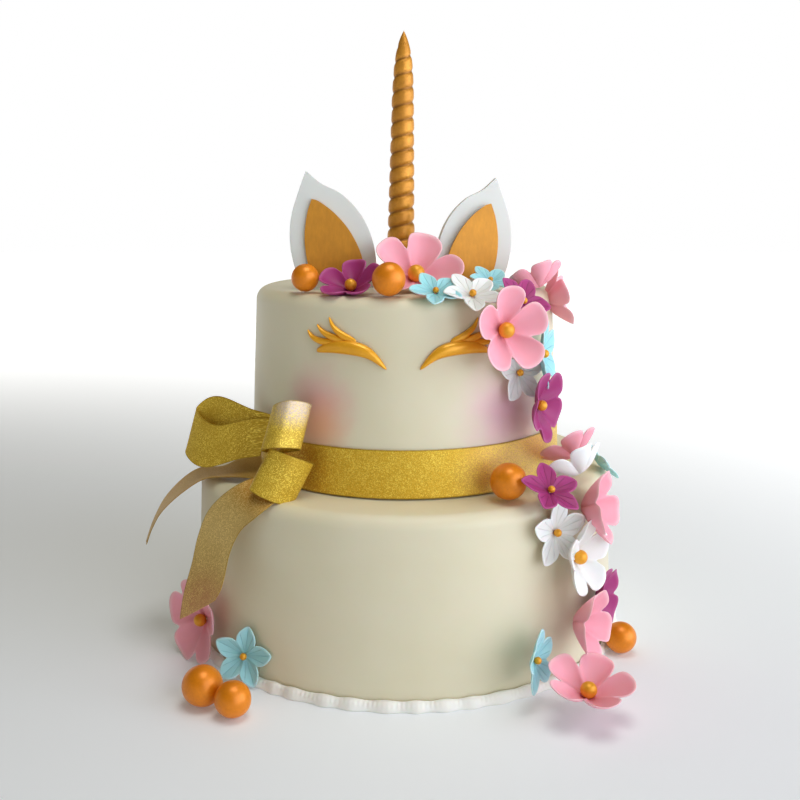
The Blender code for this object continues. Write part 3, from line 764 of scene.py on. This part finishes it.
@dataclass
class Band:
    """The ribbon round the upper tier's foot, with firm selvedges."""

    columns: int = 240
    rows: int = 14
    wall_high: float = 103.0  # the upper tier's height

    def build(self) -> bpy.types.Object:
        """Lays the ribbon along the tier's side, with a slight wave where it isn't stuck down.

        Returns:
            The ribbon.
        """
        low, high = solid_box("ribbon_band")
        foot, top, wide = low.z, high.z, high.x
        lean = TIER_LEAN * (top - foot) / self.wall_high

        def place(across: float, along: float) -> Vector:
            """The ribbon's back at a share of a turn and of its width.

            Args:
                across: A share of a turn.
                along: A share of the width.

            Returns:
                The point, in millimetres.
            """
            selvedge = 0.12 * smooth_step(0.46, 0.5, abs(along - 0.5))
            wave = 0.12 * unevenness(polar(360 * across, 90, 60 * along), 20)
            radius = wide - 0.55 - lean * along - 0.12 + wave * 0.6 + selvedge * 0.3
            return polar(360 * across, radius, foot + (top - foot) * along)

        piece = Bench.rolled("ribbon_band_woven", self.columns, self.rows, place, (RIBBON_WIDE, BAND_LONG))
        # The sheet's columns run round the tier, so its map is turned to have the ribbon's length along V.
        for corner in piece.data.uv_layers.active.data:
            corner.uv = (corner.uv[1] / BAND_LONG * RIBBON_WIDE, corner.uv[0] / RIBBON_WIDE * BAND_LONG)
        Bench.thicken(piece, RIBBON_THICK)
        return dress(piece, BAND_RIBBON, "gold_ribbon", "ribbon_band")


# Horn, ears and eyes


@dataclass
class Horn:
    """A tapered roll of paste twisted to the right."""

    length: float = 140.0
    radius: float = 8.3
    pitch: float = 8.3
    lean: float = 0.8  # degrees to the right
    foot: tuple[float, float, float] = (-2.4, 0.0, 0.5)
    taper: float = 2.6
    groove_deep: float = 1.1
    swell_high: float = 0.3

    def bare_radius(self, share: float) -> float:
        """The roll's radius at a share of its length: a slow taper that rounds in to a point."""
        return (self.radius - self.taper * share) * max(0.0, 1 - share**15) ** 1.05

    def groove(self, around: float, height: float) -> float:
        """How deep the groove is at a share of a turn and a height, from 0 to 1."""
        phase = (height / self.pitch - around) % 1.0
        return abs(math.cos(math.pi * phase)) ** 9 * (1 - smooth_step(0.9, 0.97, height / self.length))

    def build(self) -> bpy.types.Object:
        """Winds the strand up the roll and keeps how deep each point lies, for the painted shade in its grooves.

        Returns:
            The horn.
        """
        top = solid_box("upper_tier")[1].z
        stand = Matrix.Translation(Vector(self.foot) + Vector((0, 0, top))) @ Matrix.Rotation(
            math.radians(self.lean), 4, "Y"
        )

        def place(across: float, along: float) -> Vector:
            """The horn's surface at a share of a turn and of its length.

            Args:
                across: A share of a turn.
                along: A share of the length.

            Returns:
                The point, in millimetres.
            """
            if along == 0.0:
                return stand @ Vector((0, 0, 0))
            share = (along * 1.004 - 0.004) if along < 1 else 1.0
            height = self.length * max(share, 0.0)
            depth = self.groove_deep * (1 - 0.55 * share) * self.groove(across, height)
            swell = self.swell_high * (1 - share) * math.sin(math.pi * ((height / self.pitch - across) % 1.0))
            radius = self.bare_radius(share) - depth + swell - 0.2
            radius += 0.15 * unevenness(polar(360 * across, 8, height), 7)
            return stand @ polar(360 * across, max(radius, 0.0), height)

        piece = Bench.rolled("horn_twisted", 48, 340, place)
        self.mark_groove_shade(piece, stand)
        return dress(piece, HORN_GOLD, "gold_paint", "horn")

    def mark_groove_shade(self, piece: bpy.types.Object, stand: Matrix) -> None:
        """Writes each point's depth in the groove as an attribute, which the paint darkens as painted shade.

        Args:
            piece: The horn.
            stand: Where the roll stands.
        """
        values = piece.data.attributes.new("groove", "FLOAT", "POINT")
        back = stand.inverted()
        for vertex, value in zip(piece.data.vertices, values.data):
            spot = back @ (vertex.co / MM)
            around = (math.degrees(math.atan2(spot.x, -spot.y)) / 360) % 1.0
            value.value = 0.7 * self.groove(around, spot.z) ** 2.5


class Side(Enum):
    """Which side of the face, and the sign that mirrors the left one's shapes on to it."""

    LEFT = 1
    RIGHT = -1


def points_of(*pairs: tuple[float, float]) -> list[Vector]:
    """Flat points, as (across, height), in a space of three dimensions."""
    return [Vector((x, y, 0)) for x, y in pairs]


EAR_OUTER = points_of((-19, 0), (-24.5, 12), (-27, 26), (-26, 40), (-22, 53), (-17.5, 65))
EAR_INNER = points_of((20, 0), (21.5, 15), (18.5, 30), (12, 42.5), (2, 52.5), (-9, 58), (-17.5, 65))
LINING_OUTER = points_of((-14, 5), (-17.5, 17), (-18.5, 29), (-17, 41), (-14.3, 49.5))
LINING_INNER = points_of((14, 5), (14.7, 12), (12, 22), (6, 33), (-2, 42), (-10, 48), (-14.3, 49.5))


@dataclass
class Ear:
    """An ear cut from rolled paste, with a smaller gold one laid on its front."""

    side: Side
    foot: tuple[float, float]
    look: float
    size: float
    rise: float = 4.0
    lining_shift: float = 0.0  # how far its lining lies towards the ear's inner side
    columns: int = 26
    rows: int = 44

    def sheet(
        self, name: str, outer: list[Vector], inner: list[Vector], front: float, thick: float, edge: float
    ) -> bpy.types.Object:
        """One layer of the ear.

        Args:
            name: The piece's name.
            outer: The outline's outer side, from foot to tip.
            inner: The outline's inner side, from foot to tip.
            front: How far in front of the ear's back it lies.
            thick: Its thickness.
            edge: How far its edge is rounded.

        Returns:
            The layer.
        """
        top = solid_box("upper_tier")[1].z
        stand = Matrix.Translation((*self.foot, top + GAP)) @ facing(self.look, self.rise)

        def place(across: float, along: float) -> Vector:
            """The layer's back at shares across and up it.

            Args:
                across: A share from the outer side to the inner.
                along: A share from foot to tip.

            Returns:
                The point, in millimetres.
            """
            spot = curve_through(outer, along).lerp(curve_through(inner, along), across)
            spot.x += self.lining_shift if front > 1 else 0.0
            ripple = 0.2 * unevenness(Vector((spot.x, spot.y, 40.0 * self.size)), 12)
            return stand @ Vector((self.side.value * spot.x * self.size, spot.y * self.size, front + ripple))

        piece = Bench.rolled(name, self.columns, self.rows, place)
        flat = 1.0 if self.side is Side.LEFT else -1.0
        Bench.finish_with(piece, "SOLIDIFY", thickness=thick * MM, offset=flat)
        Bench.weld(piece)
        rounded = {"width": edge * MM, "segments": 3, "limit_method": "ANGLE", "angle_limit": math.radians(50)}
        Bench.finish_with(piece, "BEVEL", **rounded)
        return piece

    def build(self) -> list[bpy.types.Object]:
        """The ear and its lining.

        Returns:
            The two pieces.
        """
        word = self.side.name.lower()
        ear = self.sheet(f"ear_{word}_paste", EAR_OUTER, EAR_INNER, 0.2, 3.6, 1.3)
        lining = self.sheet(f"ear_{word}_gold", LINING_OUTER, LINING_INNER, 4.2, 1.3, 0.45)
        return [
            dress(ear, SHADED_EAR_PASTE, "white_paste", f"ear_{word}"),
            dress(lining, LINING_GOLD, "gold_paint", f"ear_{word}_lining"),
        ]


LID = [(-31.8, 173.6), (-25.5, 176.2), (-19.3, 176.6), (-14.0, 175.2), (-10.2, 172.0), (-5.8, 165.6)]
LASHES = (
    [(-23.6, 178.6), (-29.0, 178.9), (-32.8, 180.6), (-35.4, 184.4)],
    [(-20.0, 179.2), (-25.4, 181.6), (-28.9, 184.0), (-31.4, 187.6)],
    [(-16.4, 179.2), (-21.2, 182.6), (-24.6, 186.6), (-26.6, 191.8)],
)


@dataclass
class ClosedEye:
    """A closed lid with three lashes, rolled from paste and pressed on the tier's side."""

    side: Side
    columns: int = 20
    rows: int = 48

    def wall(self, height: float) -> float:
        """Radius of the upper tier's side at a height."""
        low, high = solid_box("upper_tier")
        return high.x - TIER_LEAN * (height - low.z) / (high.z - low.z)

    def strip(
        self, name: str, line: list[tuple[float, float]], widest: float, thick: float, bulk: float
    ) -> bpy.types.Object:
        """One tapered strip.

        Args:
            name: The piece's name.
            line: Its middle line as (bearing, height) points.
            widest: Its greatest width.
            thick: Its greatest thickness.
            bulk: Where it is widest: 1 at the middle of its length, less nearer its start.

        Returns:
            The strip.
        """
        shift = -1.2 if self.side is Side.RIGHT else 0.0
        path = [Vector((self.side.value * b + shift, z, 0)) for b, z in line]

        def place(around: float, along: float) -> Vector:
            """The strip's surface at a share round its section and a share along it.

            Args:
                around: A share round the section.
                along: A share of the length.

            Returns:
                The point, in millimetres.
            """
            share = 0.01 + 0.98 * along
            here = curve_through(path, share)
            ahead = curve_through(path, min(share + 0.01, 1.0)) - curve_through(path, max(share - 0.01, 0.0))
            arc = math.radians(1) * self.wall(here.y)
            run = Vector((ahead.x * arc, ahead.y)).normalized()
            ends = 0.0 if along in (0.0, 1.0) else 1.0
            half = ends * (0.5 * widest * math.sin(math.pi * share**bulk) ** 0.8 + 0.15)
            high = ends * (thick * math.sin(math.pi * share) ** 0.6 + 0.2)
            a = 2 * math.pi * around
            side, out = -math.cos(a), max(0.0, math.sin(a)) ** 0.8
            height = here.y + side * half * run.x
            radius = self.wall(height) + 0.05 + out * high
            return polar(here.x - side * half * run.y / arc, radius, height)

        return Bench.rolled(name, self.columns, self.rows, place)

    def build(self) -> list[bpy.types.Object]:
        """The lid and its lashes.

        Returns:
            The four pieces.
        """
        word = self.side.name.lower()
        lid = self.strip(f"eyelid_{word}_paste", LID, 7.0, 3.5, 0.8)
        made = [dress(lid, LASH_GOLD, "gold_paint", f"eyelid_{word}")]
        for number, line in enumerate(LASHES, start=1):
            lash = self.strip(f"lash_{word}_{number}_paste", line, 3.4, 1.9, 0.5)
            made.append(dress(lash, LASH_GOLD, "gold_paint", f"lash_{word}_{number}"))
        return made


# Blossoms and balls


@dataclass(frozen=True)
class Cut:
    """How a blossom is cut and cupped, as shares of its radius."""

    notch: float  # how far out two petals part
    square: float  # how square a petal's end is
    steep: float  # how steeply its sides rise
    cup: float
    hollow: float
    curl: float
    pearl: float
    crease: float  # how deep the fold down each petal's middle is

    def edge(self, across: float) -> float:
        """How far out the petal's edge is, for -1 to 1 across it."""
        return self.notch + (1 - self.notch) * max(0.0, 1 - abs(across) ** self.square) ** self.steep


ROUND = Cut(0.5, 2.6, 0.5, 0.55, 0.10, 0.10, 0.19, 0.0)
WIDE = Cut(0.66, 2.8, 0.5, 0.42, 0.08, 0.08, 0.15, 0.0)
CLOSED = Cut(0.62, 2.6, 0.5, 0.8, 0.12, 0.06, 0.1, 0.0)
POINTED = Cut(0.5, 0.95, 0.74, 0.28, 0.03, 0.10, 0.11, 0.05)


@dataclass
class Blossom:
    """A sugar blossom with a gold pearl at its heart, turned to its given bearing, rise and roll, and centred on its
    solid.
    """

    node: str
    cut: Cut
    paste: Paste
    radius: float
    look: float
    rise: float
    roll: float
    seat: tuple[float, float, float] = (0.0, 0.0, 0.0)  # how far its middle lies from the solid's
    petals: int = 5
    cells: int = 12  # across one petal
    rows: int = 9
    thick: float = 0.85

    def petal(self, moods: list[random.Random], across: float, along: float) -> Vector:
        """The sheet's underside.

        Args:
            moods: Each petal's own small differences: its lift, twist and ruffle.
            across: A share of a turn.
            along: A share of the way from the heart to the edge.

        Returns:
            The point, with the blossom facing +Z.
        """
        whole = min(int(across * self.petals), self.petals - 1)
        s = 2 * (across * self.petals - whole) - 1
        lift, twist, ruffle = moods[whole]
        out = self.cut.edge(s) * (0.04 + 0.96 * along)
        free = smooth_step(0.35, 1.0, out)
        rise = self.cut.cup * out + self.cut.curl * s * s * out
        rise -= self.cut.hollow * 4 * along * (1 - along) * (1 - s * s)
        rise -= self.cut.crease * math.exp(-((s / 0.14) ** 2)) * free
        rise += free * (0.05 * lift + 0.05 * twist * s + 0.018 * math.sin(5 * s + 6 * ruffle) * along)
        angle = math.radians(90 + 360 / self.petals * (whole + s / 2))
        return Vector((math.cos(angle) * out, math.sin(angle) * out, rise)) * self.radius

    def build(self) -> list[bpy.types.Object]:
        """The petals and the pearl.

        Returns:
            The two pieces.
        """
        draw = random.Random(self.node)
        moods = [[draw.uniform(-1, 1) for _ in range(3)] for _ in range(self.petals)]
        petals = Bench.rolled(
            f"{self.node}_petals",
            self.cells * self.petals,
            self.rows,
            lambda across, along: self.petal(moods, across, along),
            (float(self.petals), 1.0),
        )
        Bench.thicken(petals, self.thick)
        Bench.clear()
        size = self.cut.pearl * self.radius
        bpy.ops.mesh.primitive_uv_sphere_add(
            segments=28, ring_count=16, radius=size * MM, location=(0, 0, (size + 0.3) * MM)
        )
        pearl = bpy.context.object
        pearl.name = pearl.data.name = f"{self.node}_pearl"
        Bench.pick(pearl)
        bpy.ops.object.transform_apply(location=True)
        turn = facing(self.look, self.rise, self.roll)
        for piece in (petals, pearl):
            piece.data.transform(turn)
        self.centre_on_solid(petals, pearl)
        plain, veined, slot = self.paste.value
        finish = veined if self.cut is POINTED else plain
        return [
            dress(petals, finish, slot, self.node),
            dress(pearl, PEARL_GOLD, "gold_ball"),
        ]

    def centre_on_solid(self, *pieces: bpy.types.Object) -> None:
        """Moves the pieces together so that their box has the solid's middle.

        Args:
            pieces: The pieces.
        """
        spots = [vertex.co for piece in pieces for vertex in piece.data.vertices]
        low = Vector([min(spot[i] for spot in spots) for i in range(3)])
        high = Vector([max(spot[i] for spot in spots) for i in range(3)])
        want = sum(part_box(self.node), Vector((0, 0, 0))) / 2 + Vector(self.seat) * MM
        move = Matrix.Translation(want - (low + high) / 2)
        for piece in pieces:
            piece.data.transform(move)


BLOSSOMS = [
    Blossom("blossom_left_pink", WIDE, Paste.PINK, 23.5, -50, 4, 9, (-1, 0, 1)),
    Blossom("blossom_left_blue", POINTED, Paste.BLUE, 17, -15, 10, -9, (0, 0, -1.5)),
    Blossom("blossom_top_magenta", ROUND, Paste.MAGENTA, 17, -22, 60, 9, (0, -1, -0.5)),
    Blossom("blossom_top_pink", ROUND, Paste.PINK, 24.5, 14, 48, -24, (0, 0, -2.5)),
    Blossom("blossom_top_blue_back", POINTED, Paste.BLUE, 13, 30, 62, 10),
    Blossom("blossom_top_blue", POINTED, Paste.BLUE, 14.5, 15, 62, 18),
    Blossom("blossom_top_white", POINTED, Paste.WHITE, 17, 22, 60, 18, (-2, -2, -3)),
    Blossom("blossom_side_white", POINTED, Paste.WHITE, 17, 37, 4, 0, (0, -0.5, 0)),
    Blossom("blossom_shoulder_magenta", POINTED, Paste.MAGENTA, 16.5, 40, 38, 30),
    Blossom("blossom_side_pink", ROUND, Paste.PINK, 22, 31, 7, 0, (-1, 0, 0)),
    Blossom("blossom_shoulder_pink", ROUND, Paste.PINK, 15.5, 32, 122, 20, (-1, 0, -1)),
    Blossom("blossom_shoulder_pink_back", CLOSED, Paste.PINK, 17, 84, 16, 0, (-4, 0, -1)),
    Blossom("blossom_side_blue", POINTED, Paste.BLUE, 20, 72, 4, 10, (-1, 0, 0)),
    Blossom("blossom_side_blue_low", POINTED, Paste.BLUE, 14, 70, 0, 0),
    Blossom("blossom_side_magenta", WIDE, Paste.MAGENTA, 19, 60, 0, 29, (-3.5, 0, 0.5)),
    Blossom("blossom_ledge_pink", ROUND, Paste.PINK, 17, 46, 130, 0, (-4, 0, -1)),
    Blossom("blossom_ledge_white", ROUND, Paste.WHITE, 17, 46, 128, 11, (-2, 0, 0)),
    Blossom("blossom_ledge_blue", POINTED, Paste.BLUE, 14, 100, 40, 0),
    Blossom("blossom_wall_white", POINTED, Paste.WHITE, 19, 36, 6, -2, (0, -0.5, 0)),
    Blossom("blossom_edge_pink", CLOSED, Paste.PINK, 19.5, 66, 10, 30, (-4.5, -1, -4)),
    Blossom("blossom_edge_magenta", POINTED, Paste.MAGENTA, 17, 28, 54, -10, (-4, -1, 0)),
    Blossom("blossom_wall_white_round", ROUND, Paste.WHITE, 20, 52, 6, -5, (0, -1, 0.5)),
    Blossom("blossom_wall_magenta", WIDE, Paste.MAGENTA, 19, 64, 0, 15, (0, 0, -3)),
    Blossom("blossom_wall_pink", CLOSED, Paste.PINK, 18.5, 58, 4, 30, (-3, -2, 0.5)),
    Blossom("blossom_foot_blue", POINTED, Paste.BLUE, 17.5, 62, 2, 0, (1.5, 0, 2.5)),
    Blossom("blossom_foot_pink", ROUND, Paste.PINK, 22, 14, 79, -37, (-1.5, 0, -1.5)),
]

BALLS = (
    "ball_top_left",
    "ball_top_middle",
    "ball_ledge",
    "ball_foot_left_big",
    "ball_foot_left_small",
    "ball_foot_right",
)


@dataclass
class GoldBall:
    """A ball rolled between the palms: nearly round, with faint flats."""

    node: str

    def build(self) -> bpy.types.Object:
        """Adds a sphere in its solid's box and dents it a little.

        Returns:
            The ball.
        """
        low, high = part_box(self.node)
        middle, radius = (low + high) / 2, (high.z - low.z) / 2
        Bench.clear()
        bpy.ops.mesh.primitive_uv_sphere_add(segments=56, ring_count=32, radius=radius, location=middle)
        piece = bpy.context.object
        piece.name = piece.data.name = f"{self.node}_lustre"
        Bench.pick(piece)
        bpy.ops.object.transform_apply(location=True)
        for vertex in piece.data.vertices:
            out = (vertex.co - middle).normalized()
            vertex.co += out * (0.25 * unevenness(vertex.co / MM, 9) - 0.15) * MM
        return dress(piece, BALL_GOLD, "gold_ball", self.node)


# Bow


@dataclass
class Station:
    """Where a ribbon's middle line is, the way its width runs, and half its width."""

    at: Vector
    across: Vector
    half: float


def station(at: tuple[float, float, float], across: tuple[float, float, float], half: float) -> Station:
    """A station from plain numbers."""
    return Station(Vector(at), Vector(across), half)


TAIL_FRONT = [
    station((-68, -86, 105), (0.6, -0.72, -0.35), 10),
    station((-75, -91, 103), (0.64, -0.7, -0.42), 11.5),
    station((-84, -94.5, 97.5), (0.7, -0.64, -0.38), 12.5),
    station((-93.5, -93, 88), (0.78, -0.62, -0.2), 13),
    station((-99.5, -92, 75), (0.77, -0.62, -0.1), 13),
    station((-102, -97, 63), (0.77, -0.6, 0.0), 13),
    station((-104, -104, 54), (0.8, -0.45, 0.25), 13),
    station((-106, -109, 46), (0.83, -0.3, 0.56), 12.5),
]
TAIL_LEFT = [
    station((-76, -57, 107), (0.35, -1.0, -0.3), 12),
    station((-87, -51.5, 105.5), (0.3, -1.0, -0.25), 12.5),
    station((-100, -48, 102), (0.3, -1.0, 0.0), 12),
    station((-114, -44, 99.8), (0.3, -1.0, 0.0), 13),
    station((-127, -40, 91), (0.25, -1.0, 0.0), 13),
    station((-138.5, -36, 79), (0.22, -1.0, 0.05), 13),
    station((-146.5, -32, 65.5), (0.25, -1.0, 0.18), 13),
    station((-151.5, -30, 53), (0.27, -1.0, 0.28), 11),
]


@dataclass
class Strip:
    """A flat ribbon through its stations, gathered where it is narrow."""

    name: str
    node: str
    stations: list[Station]
    finish: Finish
    rows: int
    crown: float = 0.0
    pleat: float = 1.3

    def station_at(self, share: float) -> Station:
        """The station at a share of the ribbon's length.

        Args:
            share: A share of the length.

        Returns:
            The station there.
        """
        at = curve_through([s.at for s in self.stations], share)
        across = curve_through([s.across.normalized() for s in self.stations], share).normalized()
        half = curve_through([Vector((s.half, 0, 0)) for s in self.stations], share).x
        return Station(at, across, half)

    def build(self) -> bpy.types.Object:
        """Lays the ribbon's back along the stations and gives it its thickness.

        Returns:
            The ribbon.
        """
        length = sum((b.at - a.at).length for a, b in zip(self.stations, self.stations[1:]))
        widest = max(s.half for s in self.stations)

        def place(across: float, along: float) -> Vector:
            """The ribbon's back at shares across and along it.

            Args:
                across: A share of the width.
                along: A share of the length.

            Returns:
                The point, in millimetres.
            """
            here = self.station_at(along)
            run = self.station_at(min(along + 0.01, 1.0)).at - self.station_at(max(along - 0.01, 0.0)).at
            out = here.across.cross(run).normalized()
            side = 2 * across - 1
            gathered = smooth_step(0.02, 0.5, 1 - here.half / widest)
            lift = self.crown * (1 - side * side) + 0.12
            lift += self.pleat * gathered * math.cos(3.5 * math.pi * side)
            lift += 0.25 * unevenness(here.at + Vector((9 * side, 0, 0)), 16)
            lift += 0.1 * smooth_step(0.9, 1.0, abs(side))
            return here.at + here.across * here.half * side * 0.995 + out * lift

        piece = Bench.rolled(self.name, 24, self.rows, place, (RIBBON_WIDE, length), closed=False)
        Bench.thicken(piece, RIBBON_THICK)
        return dress(piece, self.finish, "gold_ribbon", self.node)


@dataclass
class Loop:
    """A ribbon loop from its root out to its tip and back."""

    root: tuple[float, float, float]
    tip: tuple[float, float, float]
    side: tuple[float, float, float]
    across: tuple[float, float, float]
    depth: float
    pinch: float
    sharp: float
    back: float = 1.0  # how far the half behind bulges, against the half in front
    width: float = RIBBON_WIDE

    def stations(self, steps: int = 40) -> list[Station]:
        """The loop as stations.

        Args:
            steps: How many steps it is laid in.

        Returns:
            The stations, from root to root.
        """
        out, side = Vector(self.tip) - Vector(self.root), Vector(self.side).normalized()
        made = []
        for i in range(steps + 1):
            share = i / steps
            fold = math.sqrt((2 * share - 1) ** 2 + 0.012) - 0.1 * (1 - abs(2 * share - 1))
            reach = max(0.0, 1 - fold) ** self.sharp
            at = Vector(self.root) + out * reach
            bulge = 0.5 * self.depth * (1.0 if share < 0.5 else self.back)
            at += side * (1.1 * math.cos(math.pi * share) + bulge * math.sin(2 * math.pi * share))
            half = 0.5 * self.width * (self.pinch + (1 - self.pinch) * reach**0.7)
            made.append(Station(at, Vector(self.across), half))
        return made


@dataclass
class Knot:
    """The bow's pinched middle: gathered ribbon bound in a short roll."""

    bearing: float = -50.5
    length: float = 13.0
    deep: float = 3.0
    high: float = 8.5
    height: float = 112.0
    wall: float = 91.655  # the ribbon's face there

    def build(self) -> bpy.types.Object:
        """Pleats a short roll along the band.

        Returns:
            The knot.
        """
        middle = polar(self.bearing, self.wall + self.deep, self.height)
        along_way, out_way = polar(self.bearing + 90, 1, 0), polar(self.bearing, 1, 0)

        def place(around: float, along: float) -> Vector:
            """The roll's surface at shares round and along it.

            Args:
                around: A share round the roll.
                along: A share of its length.

            Returns:
                The point, in millimetres.
            """
            share = 2 * along - 1
            ends = 0.0 if along in (0.0, 1.0) else 1.0
            waist = ends * (0.98 - 0.38 * abs(share) ** 2.2)
            a = 2 * math.pi * around
            fold = 1 - 0.10 * abs(math.sin(4.5 * a)) * (0.4 + 0.6 * abs(share))
            out = out_way * self.deep * waist * fold * math.cos(a)
            up = Vector((0, 0, self.high * waist * fold * math.sin(a)))
            return middle + along_way * self.length * 0.5 * share + out + up

        piece = Bench.rolled("bow_knot_gathered", 72, 24, place, (46.0, self.length))
        return dress(piece, BOW_RIBBON, "gold_ribbon", "bow_knot")


LOOPS = {
    "bow_loop_left": Loop(
        (-75, -59, 125), (-119, -43, 124), (0, -0.5, -0.87), (0.28, 0.05, 0.96), 15, 0.85, 0.5
    ),
    "bow_loop_upper": Loop(
        (-67, -74, 127), (-61, -92, 139), (1, 0.3, -0.05), (0.22, 0.45, 0.87), 22, 0.65, 0.5, 0.6
    ),
    "bow_loop_lower": Loop(
        (-67, -75, 111), (-62, -96, 111), (0.88, 0.25, -0.42), (0.45, 0.12, 0.88), 22, 0.65, 0.5
    ),
}


@dataclass
class Bow:
    """A knot on the band at the left, with three loops and two tails."""

    def build(self) -> list[bpy.types.Object]:
        """The knot, loops and tails.

        Returns:
            Every piece of the bow.
        """
        made = [Knot().build()]
        for node, loop in LOOPS.items():
            finish = UPPER_RIBBON if node == "bow_loop_upper" else BOW_RIBBON
            made.append(Strip(f"{node}_ribbon", node, loop.stations(), finish, 80).build())
        made.append(Strip("bow_tail_front_ribbon", "bow_tail_front", TAIL_FRONT, FRONT_RIBBON, 70, 0.6, 0.3).build())
        made.append(Strip("bow_tail_left_ribbon", "bow_tail_left", TAIL_LEFT, LEFT_RIBBON, 70, 0.4, 0.3).build())
        return made


# Studio


@dataclass
class Studio:
    """A pale floor, soft light from the right and above, and the camera where the picture was taken."""

    lens: float = 43.97
    sensor: float = 36.0
    pitch: float = 11.7  # degrees down from level
    spot: tuple[float, float, float] = (-0.0026, -0.573, 0.251)
    aim: tuple[float, float, float] = (0.0, 0.0, 0.14)
    floor_wide: float = 8.0

    def floor(self) -> None:
        """A wide pale surface."""
        Bench.clear()
        bpy.ops.mesh.primitive_plane_add(size=self.floor_wide)
        plane = bpy.context.object
        plane.name = "studio_floor"
        plane.data.materials.append(StudioPaper("studio_paper_white", "#E8ECF0", 0.6).material())

    def lamp(self, name: str, place: tuple[float, float, float], size: float, power: float, colour: str) -> None:
        """A soft square light that looks at the cake's middle.

        Args:
            name: The lamp's name.
            place: Where it is, in metres.
            size: Its side, in metres.
            power: Its power, in watts.
            colour: Its colour.
        """
        Bench.clear()
        bpy.ops.object.light_add(type="AREA", location=place)
        lamp = bpy.context.object
        lamp.name = name
        lamp.data.shape = "SQUARE"
        lamp.data.size = size
        lamp.data.energy = power
        lamp.data.color = linear(colour)[:3]
        aim = Vector(self.aim) - Vector(place)
        lamp.rotation_euler = aim.to_track_quat("-Z", "Y").to_euler()

    def camera(self) -> None:
        """The camera."""
        Bench.clear()
        bpy.ops.object.camera_add(location=self.spot, rotation=(math.radians(90 - self.pitch), 0, 0))
        camera = bpy.context.object
        camera.name = "studio_camera"
        camera.data.sensor_width = self.sensor
        camera.data.lens = self.lens
        camera.data.clip_start = 0.01
        bpy.context.scene.camera = camera

    def air(self) -> None:
        """Soft light from all round: dim and warm above, pale low down, and white behind and to the right."""
        world = bpy.data.worlds.new("studio_air")
        bpy.context.scene.world = world
        world.use_nodes = True
        put = partial(add_node, world.node_tree)
        way = put("TexCoord").outputs["Generated"]
        height = put("SeparateXYZ", None, {0: way}).outputs["Z"]
        behind = put("VectorMath", {"operation": "DOT_PRODUCT"}, {0: way, 1: (0.6, 0.8, 0.0)}).outputs["Value"]
        back = put("MapRange", SOFT, {"Value": behind, "From Min": -0.4, "From Max": 0.3, "To Min": 0.5}).outputs[0]
        low = put("MapRange", SOFT, {"Value": height, "From Min": 0.19, "From Max": 0.27, "To Min": 1.0, "To Max": 0.0})
        white = put("Math", TIMES, {0: low.outputs[0], 1: back}).outputs[0]
        colours = {0: white, 6: linear("#66614F"), 7: linear("#FFFFFF")}
        air = world.node_tree.nodes["Background"]
        world.node_tree.links.new(put("Mix", RGBA, colours).outputs[2], air.inputs["Color"])

    def build(self) -> None:
        """Sets up the floor, light, camera and background."""
        self.floor()
        self.camera()
        self.lamp("key_right", (1.25, -0.95, 0.45), 2.0, 29.0, "#EAF0FF")
        self.lamp("fill_right", (1.5, -0.2, 0.35), 1.4, 6.0, "#E6EEFF")
        self.lamp("top_soft", (0.15, -0.2, 1.4), 0.7, 7.0, "#FFFDF8")
        self.air()
        bpy.context.scene.view_settings.view_transform = "Standard"


def main() -> None:
    """Builds the studio and every piece of the cake."""
    logging.basicConfig(level=logging.INFO, format="%(name)s: %(message)s")
    Studio().build()
    Tier("lower_tier", LOWER_FONDANT).build()
    Tier("upper_tier", UPPER_FONDANT).build()
    FootBorder().build()
    Band().build()
    Horn().build()
    Ear(Side.LEFT, (-36.5, -32), 0, 0.97).build()
    Ear(Side.RIGHT, (36.5, -25), 16, 0.92, lining_shift=1.8).build()
    for side in Side:
        ClosedEye(side).build()
    for blossom in BLOSSOMS:
        blossom.build()
    for node in BALLS:
        GoldBall(node).build()
    Bow().build()


if __name__ == "__main__":
    main()
